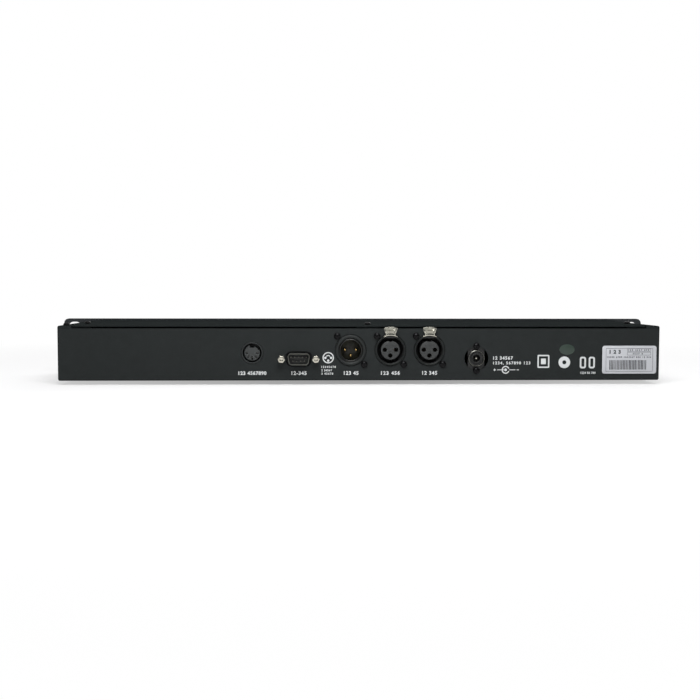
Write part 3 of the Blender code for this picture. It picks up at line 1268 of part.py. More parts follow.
def make_main_board():
    """The flat board that carries the sockets, with its spacers and components."""
    back = WALL_Y - MAIN_BOARD_REAR
    width = MAIN_BOARD_RIGHT - MAIN_BOARD_LEFT
    centre = ((MAIN_BOARD_LEFT + MAIN_BOARD_RIGHT) / 2, back - MAIN_BOARD_DEPTH / 2)
    outline = rounded_rectangle(centre, width, MAIN_BOARD_DEPTH, BOARD_CORNER, 1)
    board = plate("main_board", [outline], MAIN_BOARD_TOP - BOARD_THICK, BOARD_THICK, "+Z", "green board")
    low = FLOOR_Z + SHEET + SEAT_GAP
    height = MAIN_BOARD_TOP + SCREW_HEAD_HEIGHT / 2 - low
    spacers = []
    for x, y in spots_of_main_spacers():
        spacers.append(rod("spacer and screw", SPACER_RADIUS, (x, y, low), height, "+Z", sides=SMALL))
    return join(board, group("main board parts", spacers + board_components()))


def board_components():
    """Chips, capacitors, clock cell and ribbon socket on the main board."""
    rear = WALL_Y - MAIN_BOARD_REAR
    seat = MAIN_BOARD_TOP - OVERLAP
    pieces = []
    for x, depth, width, length, height in CHIPS:
        low = (x - width / 2, rear - depth - length / 2, seat)
        pieces.append(box("chip", low, (x + width / 2, low[1] + length, seat + height)))
    for x, depth, radius, height in CANS:
        pieces.append(rod("can", radius, (x, rear - depth, seat), height, "+Z", sides=16))
    half = HEADER_WIDTH / 2
    socket_y = rear - MAIN_HEADER_DEPTH - HEADER_THICK / 2
    high = (HEADER_X + half, socket_y + HEADER_THICK, MAIN_BOARD_TOP + HEADER_HEIGHT)
    pieces.append(box("ribbon socket", (HEADER_X - half, socket_y, seat), high))
    return pieces


def bezier(points, steps):
    """Points along one cubic arch through its two ends, pulled by the two between."""
    first, second, third, fourth = points
    route = []
    for step in range(steps + 1):
        t = step / steps
        s = 1 - t
        weights = (s ** 3, 3 * s * s * t, 3 * s * t * t, t ** 3)
        terms = zip(weights, (first, second, third, fourth))
        route.append(tuple(sum(values) for values in zip(*[[w * c for c in point] for w, point in terms])))
    return route


def make_ribbon():
    """The flat cable between the two boards."""
    end_y = WALL_Y - MAIN_BOARD_REAR - MAIN_HEADER_DEPTH
    start_y = PANEL_BACK_Y + FRONT_BOARD_DEPTH + BOARD_THICK + HEADER_HEIGHT + SEAT_GAP
    end_z = MAIN_BOARD_TOP + HEADER_HEIGHT + SEAT_GAP
    pull = RIBBON_PULL
    corners = ((start_y, MIDDLE_Z), (start_y + pull, MIDDLE_Z), (end_y, end_z + pull), (end_y, end_z))
    route = bezier(corners, 12)
    half = RIBBON_WIDTH / 2
    shape = bmesh.new()
    left = [shape.verts.new((HEADER_X - half, y, z)) for y, z in route]
    edges = [shape.edges.new(pair) for pair in zip(left, left[1:])]
    spread = bmesh.ops.extrude_edge_only(shape, edges=edges)["geom"]
    moved = [item for item in spread if isinstance(item, bmesh.types.BMVert)]
    bmesh.ops.translate(shape, vec=(RIBBON_WIDTH, 0, 0), verts=moved)
    mesh = bpy.data.meshes.new("ribbon_cable")
    shape.to_mesh(mesh)
    shape.free()
    ribbon = place("ribbon_cable", mesh, "grey ribbon")
    wall = ribbon.modifiers.new("thickness", "SOLIDIFY")
    wall.thickness = RIBBON_THICK
    wall.offset = 0
    return ribbon


def make_lead():
    """The lead from the back of the inlet to the edge of the main board."""
    start = (DC_X, SEAT_Y - DC_FLANGE_THICK - DC_BARREL_DEPTH - SEAT_GAP, DC_Z)
    end = (MAIN_BOARD_LEFT + LEAD_RUN, WALL_Y - LEAD_DEPTH, MAIN_BOARD_TOP + SEAT_GAP + LEAD_RADIUS)
    pull = LEAD_PULL
    corners = (start, (start[0], start[1] - pull, start[2]), (end[0] - 2 * pull, end[1], end[2]), end)
    curve = bpy.data.curves.new("lead", "CURVE")
    curve.dimensions = "3D"
    curve.bevel_depth = LEAD_RADIUS
    curve.bevel_resolution = 2
    curve.use_fill_caps = True
    spline = curve.splines.new("POLY")
    route = bezier(corners, 10)
    spline.points.add(len(route) - 1)
    for point, (x, y, z) in zip(spline.points, route):
        point.co = (x, y, z, 1)
    return mesh_of_curve(bpy.data.objects.new("lead curve", curve), "power_lead", "black plastic")


def main():
    clear_scene()
    make_chassis()
    make_lid()
    make_lid_screws()
    make_front_panel()
    make_feet()
    make_dmx_in()
    make_female_socket("dmx_out", DMX_OUT_X)
    make_female_socket("fx_out", FX_OUT_X)
    make_din_socket()
    make_serial_socket()
    make_dc_inlet()
    make_keys()
    make_jog()
    make_power_switch()
    make_display()
    make_front_board()
    make_main_board()
    make_ribbon()
    make_lead()


main()
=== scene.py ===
"""The look of a lighting recorder for a 19 inch rack, built on the fixed frame of its solids."""

import math

import bmesh
import bpy
import numpy as np
from mathutils import Matrix, Vector


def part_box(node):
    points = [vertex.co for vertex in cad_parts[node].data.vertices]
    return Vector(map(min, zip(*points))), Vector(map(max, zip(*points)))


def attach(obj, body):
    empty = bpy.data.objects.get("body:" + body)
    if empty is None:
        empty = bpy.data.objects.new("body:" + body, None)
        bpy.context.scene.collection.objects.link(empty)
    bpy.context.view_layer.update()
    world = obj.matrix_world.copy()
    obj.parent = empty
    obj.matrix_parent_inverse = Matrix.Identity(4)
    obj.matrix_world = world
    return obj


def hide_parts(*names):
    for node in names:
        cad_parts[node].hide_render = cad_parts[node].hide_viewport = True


bl_info = {
    "name": "Lighting recorder",
    "version": (1, 0, 0),
    "blender": (4, 5, 0),
    "location": "View3D > Sidebar > Recorder",
    "description": "Dresses the solids of a rack mounted lighting recorder with finishes, fittings and print",
    "category": "Object",
}

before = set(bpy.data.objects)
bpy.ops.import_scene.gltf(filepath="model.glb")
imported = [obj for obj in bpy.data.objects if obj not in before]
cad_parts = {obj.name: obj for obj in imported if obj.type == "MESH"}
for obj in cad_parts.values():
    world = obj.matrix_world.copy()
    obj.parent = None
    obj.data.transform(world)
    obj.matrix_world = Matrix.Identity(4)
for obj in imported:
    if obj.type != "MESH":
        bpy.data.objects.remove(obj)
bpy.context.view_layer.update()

# The frame is in metres. Shapes are given in millimetres, and the makers of shapes turn them into metres.
MM = 0.001
CASE = "case"


def middle(node):
    """The middle of a node's box, in metres."""
    low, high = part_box(node)
    return (low + high) / 2


def span(node):
    """The lengths of a node's box along X, Y and Z, in millimetres."""
    low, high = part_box(node)
    return [(end - start) / MM for start, end in zip(low, high)]


# Places that the frame gives, in metres
REAR_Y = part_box("chassis")[1].y
PANEL_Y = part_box("lcd_window")[0].y
WALL_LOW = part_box("chassis")[0].z
MIDDLE_Z = middle("front_panel").z
LEDGE_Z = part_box("top_cover")[0].z - 1.4 * MM
SOCKET_Z = middle("dmx_in_screw_upper").z / 2 + middle("dmx_in_screw_lower").z / 2
KEYS = sorted(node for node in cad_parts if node.startswith(("program_key_", "key_")))
RED_KEYS = ("key_record", "key_fog")


def behind_wall(node):
    """The height of a node's inner end over the rear wall's outer face, in millimetres, so below 0."""
    return (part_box(node)[0].y - REAR_Y) / MM


def over_panel(node):
    """The heights of a node's front and back over the panel's face, in millimetres."""
    low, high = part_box(node)
    return (PANEL_Y - low.y) / MM, (PANEL_Y - high.y) / MM


# Sizes and colours that a user may change

class RECORDER_PG_sizes(bpy.types.PropertyGroup):
    """Sizes of the fine detail."""
    round_steps: bpy.props.IntProperty(
        name="Round steps", description="Faces around a turned piece", default=96, min=24)
    ink_height: bpy.props.FloatProperty(
        name="Ink height", description="Thickness of the print", default=0.00004, min=0.00001, unit="LENGTH")
    recess_width: bpy.props.FloatProperty(
        name="Cross recess", description="Width of a slot of a screw's cross", default=0.0007, min=0.0001,
        unit="LENGTH")
    wheel_ribs: bpy.props.IntProperty(name="Wheel ribs", description="Ribs around the wheel", default=72, min=3)
    cell_columns: bpy.props.IntProperty(
        name="Display columns", description="Character cells in a row", default=16, min=1)
    cell_rows: bpy.props.IntProperty(name="Display rows", description="Rows of character cells", default=2, min=1)
    label_bars: bpy.props.IntProperty(name="Label bars", description="Upright bars on the label", default=25, min=2)


def colour_property(name, description, red, green, blue):
    """A colour property whose default is given by display values from 0 to 255."""
    return bpy.props.FloatVectorProperty(
        name=name, description=description, default=tone(red, green, blue)[:3], min=0, max=1, size=3, subtype="COLOR")


def tone(red, green, blue):
    """A linear colour from display values of 0 to 255."""
    def linear(value):
        value /= 255
        return value / 12.92 if value <= 0.04045 else ((value + 0.055) / 1.055) ** 2.4
    return linear(red), linear(green), linear(blue), 1.0


class RECORDER_PG_colours(bpy.types.PropertyGroup):
    """Colours of the finishes."""
    paint: colour_property("Case paint", "Powder coat of the case", 33, 36, 36)
    panel: colour_property("Panel paint", "Satin paint of the front panel", 38, 41, 43)
    ink: colour_property("Print", "Ink of the print", 202, 205, 205)
    key: colour_property("Keys", "Plastic of the grey keys", 148, 152, 155)
    red_key: colour_property("Red keys", "Plastic of the red keys", 178, 34, 28)
    sticker: colour_property("Oval sticker", "Film of the oval sticker", 40, 54, 46)
    label: colour_property("Label", "Paper of the label", 184, 186, 190)
    backlight: colour_property("Display", "Light of the display", 120, 150, 40)


def sizes():
    return bpy.context.scene.recorder_sizes


def colours():
    return bpy.context.scene.recorder_colours


# Finishes

FINISHES = {}


class Term:
    """A number that varies over a surface. Arithmetic on it adds Math nodes."""

    def __init__(self, finish, socket):
        self.finish = finish
        self.socket = socket

    def math(self, operation, *values):
        node = self.finish.node("ShaderNodeMath", {"operation": operation}, dict(enumerate(values)))
        return Term(self.finish, node.outputs[0])

    def __add__(self, other):
        return self.math("ADD", self, other)

    def __mul__(self, other):
        return self.math("MULTIPLY", self, other)

    def __sub__(self, other):
        return self.math("SUBTRACT", self, other)

    def __rsub__(self, other):
        return self.math("SUBTRACT", other, self)

    def __gt__(self, other):
        return self.math("GREATER_THAN", self, other)

    def __lt__(self, other):
        return self.math("LESS_THAN", self, other)

    __radd__ = __add__
    __rmul__ = __mul__


class Nodes:
    """A node tree to which one method adds any node."""

    def __init__(self, tree):
        self.tree = tree

    def node(self, kind, settings=None, inputs=None):
        """Adds a node, sets it, then feeds its sockets."""
        node = self.tree.nodes.new(kind)
        for name, value in (settings or {}).items():
            setattr(node, name, value)
        for socket, value in (inputs or {}).items():
            self.feed(node.inputs[socket], value)
        return node

    def feed(self, socket, value):
        if isinstance(value, Term):
            value = value.socket
        if isinstance(value, bpy.types.NodeSocket):
            self.tree.links.new(value, socket)
        else:
            socket.default_value = value

    def mix(self, factor, first, second):
        """One colour where the factor is 0 and another where it is 1."""
        node = self.node("ShaderNodeMix", {"data_type": "RGBA"}, {0: factor, 6: first, 7: second})
        return node.outputs[2]

    def backdrop_rays(self, share=1.0):
        """1 for camera rays, and a share for the rays by which a glossy surface or glass sees the background."""
        path = self.node("ShaderNodeLightPath")
        seen = Term(self, path.outputs["Is Glossy Ray"])
        seen = seen.math("MAXIMUM", seen, path.outputs["Is Transmission Ray"]) * share
        return seen.math("MAXIMUM", seen, path.outputs["Is Camera Ray"])


class Finish(Nodes):
    """A surface finish, kept under its name."""

    def __init__(self, name, **constants):
        self.material = FINISHES[name] = bpy.data.materials.new(name)
        self.material.use_nodes = True
        super().__init__(self.material.node_tree)
        self.shader = self.tree.nodes["Principled BSDF"]
        for socket, value in constants.items():
            self.shader.inputs[socket.replace("_", " ")].default_value = value
        self.place = self.node("ShaderNodeTexCoord").outputs["Object"]

    def set(self, **values):
        """Feeds sockets of the shader with what varies over the surface."""
        for name, value in values.items():
            self.feed(self.shader.inputs[name.replace("_", " ")], value)

    def stretched(self, scale):
        """Object coordinates, scaled apart along each axis."""
        return self.node("ShaderNodeMapping", {}, {"Vector": self.place, "Scale": scale}).outputs[0]

    def axis(self, name):
        """One of the object coordinates."""
        parts = self.node("ShaderNodeSeparateXYZ", {}, {0: self.place})
        return Term(self, parts.outputs[name])

    def noise(self, scale, detail=2.0, roughness=0.5, vector=None):
        inputs = {"Vector": vector or self.place, "Scale": scale, "Detail": detail, "Roughness": roughness}
        return Term(self, self.node("ShaderNodeTexNoise", {}, inputs).outputs[0])

    def bump(self, height, distance):
        inputs = {"Height": height, "Distance": distance, "Strength": 1.0}
        return self.node("ShaderNodeBump", {}, inputs).outputs[0]


def opaque(colour):
    """A colour of three values with an alpha of 1."""
    return tuple(colour) + (1.0,)


def shade(colour, factor):
    """A colour made darker or lighter by a factor."""
    return opaque(min(1.0, value * factor) for value in colour[:3])


def make_powder_coat(name, colour, grain, depth, gloss, shine, shine_top):
    """Baked powder paint: orange peel under a fine grain, uneven in tone and gloss, and dull above a height."""
    finish = Finish(name, Specular_IOR_Level=0.0, Coat_Roughness=gloss)
    cloud = finish.noise(14, 3)
    mottle = finish.noise(150, 3, 0.6)
    speck = finish.noise(grain * 2.4, 2)
    worn = finish.noise(45, 5, 0.7)
    peel = finish.noise(grain, 2.5, 0.6)
    rub = (worn > 0.66) * 0.05
    finish.set(
        Base_Color=finish.mix(cloud * 0.3 + mottle * 0.35 + speck * 0.35, shade(colour, 0.62), shade(colour, 1.4)),
        Roughness=gloss - 0.07 + speck * 0.16 - rub,
        Normal=finish.bump(peel, depth),
        Coat_Weight=(finish.axis("Z") < shine_top) * shine,
    )


def make_metal(name, colour, roughness, brush=(900, 900, 900), depth=0.000004):
    """Plated metal with a fine drawn grain and a faint tarnish."""
    finish = Finish(name, Metallic=1.0)
    grain = finish.noise(1, 3, 0.6, finish.stretched(brush))
    tarnish = finish.noise(240, 4, 0.65)
    finish.set(
        Base_Color=finish.mix(tarnish, shade(colour, 0.8), shade(colour, 1.12)),
        Roughness=roughness + grain * 0.14 + tarnish * 0.06 - 0.08,
        Normal=finish.bump(grain, depth),
    )


def make_plastic(name, colour, roughness, grain=2600, depth=0.00001, **constants):
    """Moulded plastic with the fine spark texture of its mould."""
    finish = Finish(name, **constants)
    texture = finish.noise(grain, 2, 0.55)
    cloud = finish.noise(60, 3)
    finish.set(
        Base_Color=finish.mix(cloud, shade(colour, 0.88), shade(colour, 1.12)),
        Roughness=roughness + texture * 0.14 - 0.07,
        Normal=finish.bump(texture, depth),
    )


def make_ink(name, colour, roughness=0.55):
    """Screen printed ink or label paper, slightly uneven."""
    finish = Finish(name)
    grain = finish.noise(1900, 3, 0.6)
    cloud = finish.noise(120, 2)
    finish.set(
        Base_Color=finish.mix(cloud * 0.5 + grain * 0.5, shade(colour, 0.9), shade(colour, 1.04)),
        Roughness=roughness - 0.06 + grain * 0.12,
        Normal=finish.bump(grain, 0.000006),
    )


def make_cup_floor():
    """Dark moulding with olive patches painted into its colour as a reflection of the bronze cup around it."""
    finish = Finish("cup_floor", Roughness=0.4)
    patches = finish.noise(330, 4, 0.6)
    finish.set(
        # Painted reflection: the lighter olive patches stand for the bronze cup mirrored in the floor.
        Base_Color=finish.mix(patches * 2.2 - 0.6, tone(8, 8, 5), tone(70, 70, 56)),
        Roughness=0.3 + patches * 0.2,
        Normal=finish.bump(patches, 0.00002),
    )


def make_die_cast():
    """Dark plated die casting: half metal, with the pits of its skin."""
    finish = Finish("die_cast", Metallic=0.4, Specular_IOR_Level=0.25)
    skin = finish.noise(1100, 4, 0.65)
    cloud = finish.noise(90, 3)
    finish.set(
        Base_Color=finish.mix(cloud, tone(30, 32, 32), tone(44, 47, 46)),
        Roughness=0.36 + skin * 0.16,
        Normal=finish.bump(skin, 0.000014),
    )


# A circuit board's thickness with a little to spare, and the height of the main board's upper face
BOARD_THICK = 1.65 * MM
MAIN_BOARD_TOP = 11.9 * MM


def solder_mask(finish, scale, edge, dark, light):
    """Green lacquer over raised tracks, which also gives the finish its gloss and relief."""
    tracks = finish.noise(scale, 2, 0.4) > edge
    finish.set(Roughness=0.34 + finish.noise(900, 3) * 0.2, Normal=finish.bump(tracks, 0.00003))
    return finish.mix(tracks, tone(*dark), tone(*light))


def make_front_board_finish():
    """The front board: green board, black switches and spacers in front of it."""
    finish = Finish("front_board_finish", Roughness=0.5)
    in_front = finish.axis("Y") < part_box("front_board")[1].y - BOARD_THICK
    green = solder_mask(finish, 420, 0.56, (16, 78, 44), (34, 108, 62))
    finish.set(Base_Color=finish.mix(in_front, green, tone(24, 24, 25)))


def make_main_board_finish():
    """The main board: green board, black components above and brass spacers below."""
    finish = Finish("main_board_finish")
    height = finish.axis("Z")
    above = height > MAIN_BOARD_TOP + 0.05 * MM
    below = height < MAIN_BOARD_TOP - BOARD_THICK
    green = solder_mask(finish, 380, 0.55, (15, 74, 42), (32, 104, 60))
    dressed = finish.mix(above, green, tone(26, 26, 27))
    finish.set(Base_Color=finish.mix(below, dressed, tone(196, 156, 82)), Metallic=below * 1.0)


def make_display_module_finish():
    """The display module: black bezel in front, green board behind."""
    finish = Finish("display_module_finish", Roughness=0.45)
    board = finish.axis("Y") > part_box("lcd_module")[1].y - BOARD_THICK
    finish.set(
        Base_Color=finish.mix(board, tone(22, 23, 24), tone(18, 82, 46)),
        Normal=finish.bump(finish.noise(1800, 2), 0.00001),
    )


def make_display_glass():
    """Backlit glass behind the cells, brighter in the middle."""
    finish = Finish("display_glass", Roughness=0.25, Emission_Strength=0.25)
    half_width = 34 * MM
    across = (finish.axis("X") - middle("lcd_window").x) * (1 / half_width)
    glow = 1 - across * across * 0.35
    light = opaque(colours().backlight)
    cloud = finish.noise(300, 2)
    colour = finish.mix(glow * 0.9 + cloud * 0.1, shade(light, 0.5), light)
    finish.set(Base_Color=colour, Emission_Color=colour)


def make_ribbon_finish():
    """Grey ribbon insulation with one red edge."""
    finish = Finish("ribbon_finish", Roughness=0.5)
    edge = finish.axis("X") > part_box("ribbon_cable")[1].x - 1.3 * MM
    grain = finish.noise(1500, 2)
    finish.set(
        Base_Color=finish.mix(edge, tone(150, 152, 156), tone(168, 40, 34)),
        Roughness=0.42 + grain * 0.16,
        Normal=finish.bump(grain, 0.00001),
    )


def make_lens_finish():
    """Smoked acrylic: clear enough to read the display through it."""
    finish = Finish("smoked_acrylic", Roughness=0.06, Specular_IOR_Level=0.5)
    smear = finish.noise(70, 3, 0.6)
    finish.set(
        Base_Color=finish.mix(smear, tone(18, 21, 22), tone(24, 28, 29)),
        Alpha=0.36 + smear * 0.05,
        Roughness=0.04 + smear * 0.07,
    )


# Name, display colour, roughness, and for some the scale and the depth of the grain
METALS = (
    ("nickel", (196, 193, 180), 0.17, (500, 2600, 500)),
    ("lever_nickel", (182, 180, 168), 0.15, (700, 2600, 700), 0.00001),
    ("dark_chrome", (104, 104, 99), 0.16),
    ("tin", (176, 176, 170), 0.3, (600, 600, 2000)),
    ("shell_tin", (118, 119, 113), 0.34, (600, 600, 2000)),
    ("gold", (168, 142, 92), 0.2),
    ("bronze_lining", (72, 70, 54), 0.26),
    # Dark zinc, dark also as painted shade where it shows through a gap in the wall.
    ("black_zinc", (30, 31, 32), 0.24, (1500, 1500, 1500)),
    ("black_oxide", (33, 33, 34), 0.14, (1500, 1500, 1500), 0.000001),
)
PLASTICS = (
    ("gloss_black", (9, 9, 9), 0.2, 1500, 0.000003),
    ("black_nylon", (25, 26, 26), 0.42),
    ("insert_nylon", (41, 43, 43), 0.5),
    ("din_nylon", (42, 45, 45), 0.5),
    ("serial_insulator", (46, 48, 47), 0.55),
    # Painted shade: a black put on linings, plugs and rings in the sockets' hollows, where there is only shade.
    ("hollow_black", (8, 8, 9), 0.7),
    ("wheel_plastic", (30, 31, 32), 0.4),
    ("rubber", (24, 24, 25), 0.82, 1500, 0.00003),
    ("cable_black", (26, 26, 27), 0.5),
)
INKS = (
    ("dark_ink", (40, 42, 46)),
    ("grey_ink", (64, 66, 71)),
    ("bar_ink", (52, 54, 57)),
    ("cell_ink", (22, 34, 12), 0.3),
)

# The finish of each solid
FINISH_NODES = {
    "case_paint": ["chassis", "top_cover"],
    "panel_paint": ["front_panel"],
    "display_module_finish": ["lcd_module"],
    "smoked_acrylic": ["lcd_window"],
    "front_board_finish": ["front_board"],
    "main_board_finish": ["main_board"],
    "ribbon_finish": ["ribbon_cable"],
    "cable_black": ["power_lead"],
    "tin": ["jog_encoder"],
    "nickel": ["jog_nut", "serial_shell", "serial_jackscrew_left", "serial_jackscrew_right", "dc_jack_ring"],
    "lever_nickel": ["dmx_out_latch", "fx_out_latch"],
    "die_cast": ["dmx_in_body", "dmx_out_body", "fx_out_body"],
    "black_nylon": ["dmx_in_insert", "din_shell", "dc_jack_body", "power_switch_body"],
    "insert_nylon": ["dmx_out_insert", "fx_out_insert"],
    "din_nylon": ["din_insert"],
    "serial_insulator": ["serial_insert"],
    "wheel_plastic": ["power_rocker", "jog_wheel"],
    "black_oxide": [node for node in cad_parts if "screw" in node and "jack" not in node],
    "rubber": [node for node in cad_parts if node.startswith("foot_")],
    "key_red": RED_KEYS,
    "key_grey": [node for node in KEYS if node not in RED_KEYS],
}


class RECORDER_OT_finishes(bpy.types.Operator):
    """Makes the finishes and gives each solid of the frame its own"""
    bl_idname = "recorder.finishes"
    bl_label = "Finishes"

    def execute(self, context):
        chosen = colours()
        make_powder_coat("case_paint", opaque(chosen.paint), 1300, 0.00006, 0.5, 0.22, LEDGE_Z)
        make_powder_coat("panel_paint", opaque(chosen.panel), 2200, 0.00003, 0.44, 0.5, 1.0)
        for make, rows in ((make_metal, METALS), (make_plastic, PLASTICS), (make_ink, INKS)):
            for name, colour, *look in rows:
                make(name, tone(*colour), *look)
        make_plastic("black_matte", tone(11, 11, 12), 0.5, 1500, 0.000003, Specular_IOR_Level=0.08)
        make_plastic("collar_nylon", tone(36, 39, 39), 0.5, Specular_IOR_Level=0.25)
        make_plastic("lamp_red", tone(150, 16, 12), 0.16, 400, 0.000002, Coat_Weight=0.6)
        make_plastic("key_grey", chosen.key, 0.46)
        make_plastic("key_red", chosen.red_key, 0.4)
        make_ink("white_ink", chosen.ink)
        make_ink("label_paper", chosen.label, 0.5)
        make_ink("sticker_film", chosen.sticker, 0.35)
        make_cup_floor()
        make_die_cast()
        make_front_board_finish()
        make_main_board_finish()
        make_display_module_finish()
        make_display_glass()
        make_ribbon_finish()
        make_lens_finish()
        for finish, nodes in FINISH_NODES.items():
            for node in nodes:
                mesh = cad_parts[node].data
                mesh.materials.clear()
                mesh.materials.append(FINISHES[finish])
        return {"FINISHED"}


# Outlines, in millimetres

def arc(radius, start, stop, steps, x=0.0, y=0.0):
    """Points on an arc between two angles in degrees."""
    turns = [math.radians(start + (stop - start) * i / steps) for i in range(steps + 1)]
    return [(x + radius * math.cos(turn), y + radius * math.sin(turn)) for turn in turns]


def ring(x, y, radius, steps=48):
    """A circle."""
    turns = [math.tau * i / steps for i in range(steps)]
    return [(x + radius * math.cos(turn), y + radius * math.sin(turn)) for turn in turns]


def arc_band(inner, outer, start, stop, steps=16):
    """A part of a ring between two angles."""
    return arc(outer, start, stop, steps) + arc(inner, start, stop, steps)[::-1]


def rounded(x, y, width, height, radius, steps=6):
    """A rectangle with round corners."""
    points = []
    for side_x, side_y, start in ((1, 1, 0), (-1, 1, 90), (-1, -1, 180), (1, -1, 270)):
        corner_x, corner_y = x + side_x * (width / 2 - radius), y + side_y * (height / 2 - radius)
        points += arc(radius, start, start + 90, steps, corner_x, corner_y)
    return points


def border(x, y, width, height, line, outer_corner, inner_corner):
    """The two outlines of a rectangular line with round corners."""
    return (rounded(x, y, width, height, outer_corner),
            rounded(x, y, width - 2 * line, height - 2 * line, inner_corner))


def d_shape(x, y, width, height, radius, slope=10, steps=6):
    """A D connector, wide side up, with round corners."""
    lean = height / 2 * math.tan(math.radians(slope))
    corners = [(width / 2 + lean / 2, height / 2), (-width / 2 - lean / 2, height / 2),
               (-width / 2 + lean * 1.5, -height / 2), (width / 2 - lean * 1.5, -height / 2)]
    corners = [Vector((across * MM, up * MM)) for across, up in corners]
    points = []
    for i, here in enumerate(corners):
        before = (corners[i - 1] - here).normalized()
        after = (corners[(i + 1) % 4] - here).normalized()
        half = before.angle(after) / 2
        centre = here + (before + after).normalized() * (radius * MM / math.sin(half))
        start = here + before * (radius * MM / math.tan(half)) - centre
        end = here + after * (radius * MM / math.tan(half)) - centre
        first = math.atan2(start.y, start.x)
        sweep = (math.atan2(end.y, end.x) - first + math.pi) % math.tau - math.pi
        for k in range(steps + 1):
            turn = first + sweep * k / steps
            points.append((x + centre.x / MM + radius * math.cos(turn), y + centre.y / MM + radius * math.sin(turn)))
    return points


# Shapes, from millimetres

REAR = Matrix(((-1, 0, 0), (0, 0, 1), (0, 1, 0))).to_4x4()
FRONT = Matrix(((1, 0, 0), (0, 0, -1), (0, 1, 0))).to_4x4()
UP = Matrix.Identity(4)

# Corners of a mesh that are closer than this, in metres, become one
MERGE = 2e-6
INK_MERGE = 1e-6


def on_side(side, x, y, z):
    """Places a shape whose X is to the right, Y up and Z outward, for one who faces that side, by metres."""
    return Matrix.Translation((x, y, z)) @ side


def over(node, side, y):
    """Places a shape over the middle of a node."""
    spot = middle(node)
    return on_side(side, spot.x, y, spot.z)


def opened(*meshes):
    """A bmesh that holds several shapes."""
    work = bmesh.new()
    for mesh in meshes:
        work.from_mesh(mesh)
    return work


def closed_up(work):
    """The mesh of a bmesh, as it is."""
    mesh = bpy.data.meshes.new("shape")
    work.to_mesh(mesh)
    work.free()
    return mesh


def mesh_of(work):
    """The mesh of a bmesh, merged and facing out."""
    bmesh.ops.remove_doubles(work, verts=work.verts, dist=MERGE)
    bmesh.ops.recalc_face_normals(work, faces=work.faces)
    return closed_up(work)


def evaluated(holder):
    """The mesh of an object with its modifiers, or of a curve, and the object gone."""
    bpy.context.scene.collection.objects.link(holder)
    bpy.context.view_layer.update()
    graph = bpy.context.evaluated_depsgraph_get()
    mesh = bpy.data.meshes.new_from_object(holder.evaluated_get(graph))
    bpy.data.objects.remove(holder)
    return mesh


def moved(mesh, matrix):
    mesh.transform(matrix)
    if matrix.determinant() < 0:
        mesh.flip_normals()
    return mesh


def shifted(mesh, x, y, z=0.0):
    return moved(mesh, Matrix.Translation((x * MM, y * MM, z * MM)))


def gathered(*meshes):
    """One mesh that holds several shapes."""
    return closed_up(opened(*meshes))


def slab(outlines, low, high):
    """A flat shape between two heights, filled inside the first outline and open inside the rest."""
    curve = bpy.data.curves.new("outline", "CURVE")
    curve.dimensions = "2D"
    curve.fill_mode = "BOTH"
    curve.extrude = (high - low) / 2 * MM
    for points in outlines:
        spline = curve.splines.new("POLY")
        spline.points.add(len(points) - 1)
        for point, (x, y) in zip(spline.points, points):
            point.co = (x * MM, y * MM, 0, 1)
        spline.use_cyclic_u = True
    work = opened(shifted(evaluated(bpy.data.objects.new("outline", curve)), 0, 0, (low + high) / 2))
    bmesh.ops.remove_doubles(work, verts=work.verts, dist=MERGE)
    bmesh.ops.dissolve_limit(work, angle_limit=0.001, verts=work.verts, edges=work.edges)
    return mesh_of(work)


def lathe(profile, steps=None, closed=False):
    """A shape turned about Z from a profile of radius and height."""
    work = bmesh.new()
    points = [work.verts.new((radius * MM, 0, height * MM)) for radius, height in profile]
    edges = [work.edges.new(pair) for pair in zip(points, points[1:])]
    if closed:
        edges.append(work.edges.new((points[-1], points[0])))
    bmesh.ops.spin(
        work, geom=points + edges, cent=(0, 0, 0), axis=(0, 0, 1), angle=math.tau,
        steps=steps or sizes().round_steps, use_merge=True)
    return mesh_of(work)


def block(width, height, low, high, x=0.0, y=0.0):
    """A box from its width, height and the two heights along Z."""
    work = bmesh.new()
    bmesh.ops.create_cube(work, size=1)
    bmesh.ops.scale(work, vec=(width * MM, height * MM, (high - low) * MM), verts=work.verts)
    bmesh.ops.translate(work, vec=(x * MM, y * MM, (low + high) / 2 * MM), verts=work.verts)
    return mesh_of(work)


def soften(mesh, width, segments=2, angle=30):
    """Rounds the sharp edges of a shape."""
    work = opened(mesh)
    limit = math.radians(angle)
    sharp = [edge for edge in work.edges if edge.is_manifold and edge.calc_face_angle() > limit]
    bmesh.ops.bevel(
        work, geom=sharp, offset=width * MM, segments=segments, profile=0.5, affect="EDGES", clamp_overlap=True)
    return mesh_of(work)


def cut_from(mesh, *tools):
    """A shape with others cut out of it."""
    holder = bpy.data.objects.new("shape", mesh)
    cutters = []
    for tool in tools:
        cutter = bpy.data.objects.new("tool", tool)
        bpy.context.scene.collection.objects.link(cutter)
        cutters.append(cutter)
        modifier = holder.modifiers.new("cut", "BOOLEAN")
        modifier.object, modifier.operation, modifier.solver = cutter, "DIFFERENCE", "EXACT"
    result = evaluated(holder)
    for cutter in cutters:
        bpy.data.objects.remove(cutter)
    return mesh_of(opened(result))


def piece(name, mesh, finish, matrix=None, body=CASE, stands_for=(), smooth=35):
    """Adds a finished piece that rides on a body, and hides the solids that it stands for."""
    if matrix is not None:
        moved(mesh, matrix)
    mesh.name = name
    mesh.materials.clear()
    mesh.materials.append(FINISHES[finish])
    mesh.polygons.foreach_set("material_index", [0] * len(mesh.polygons))
    mesh.polygons.foreach_set("use_smooth", [True] * len(mesh.polygons))
    mesh.set_sharp_from_angle(angle=math.radians(smooth))
    thing = bpy.data.objects.new(name, mesh)
    bpy.context.scene.collection.objects.link(thing)
    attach(thing, body)
    if stands_for:
        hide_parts(*stands_for)
    return thing


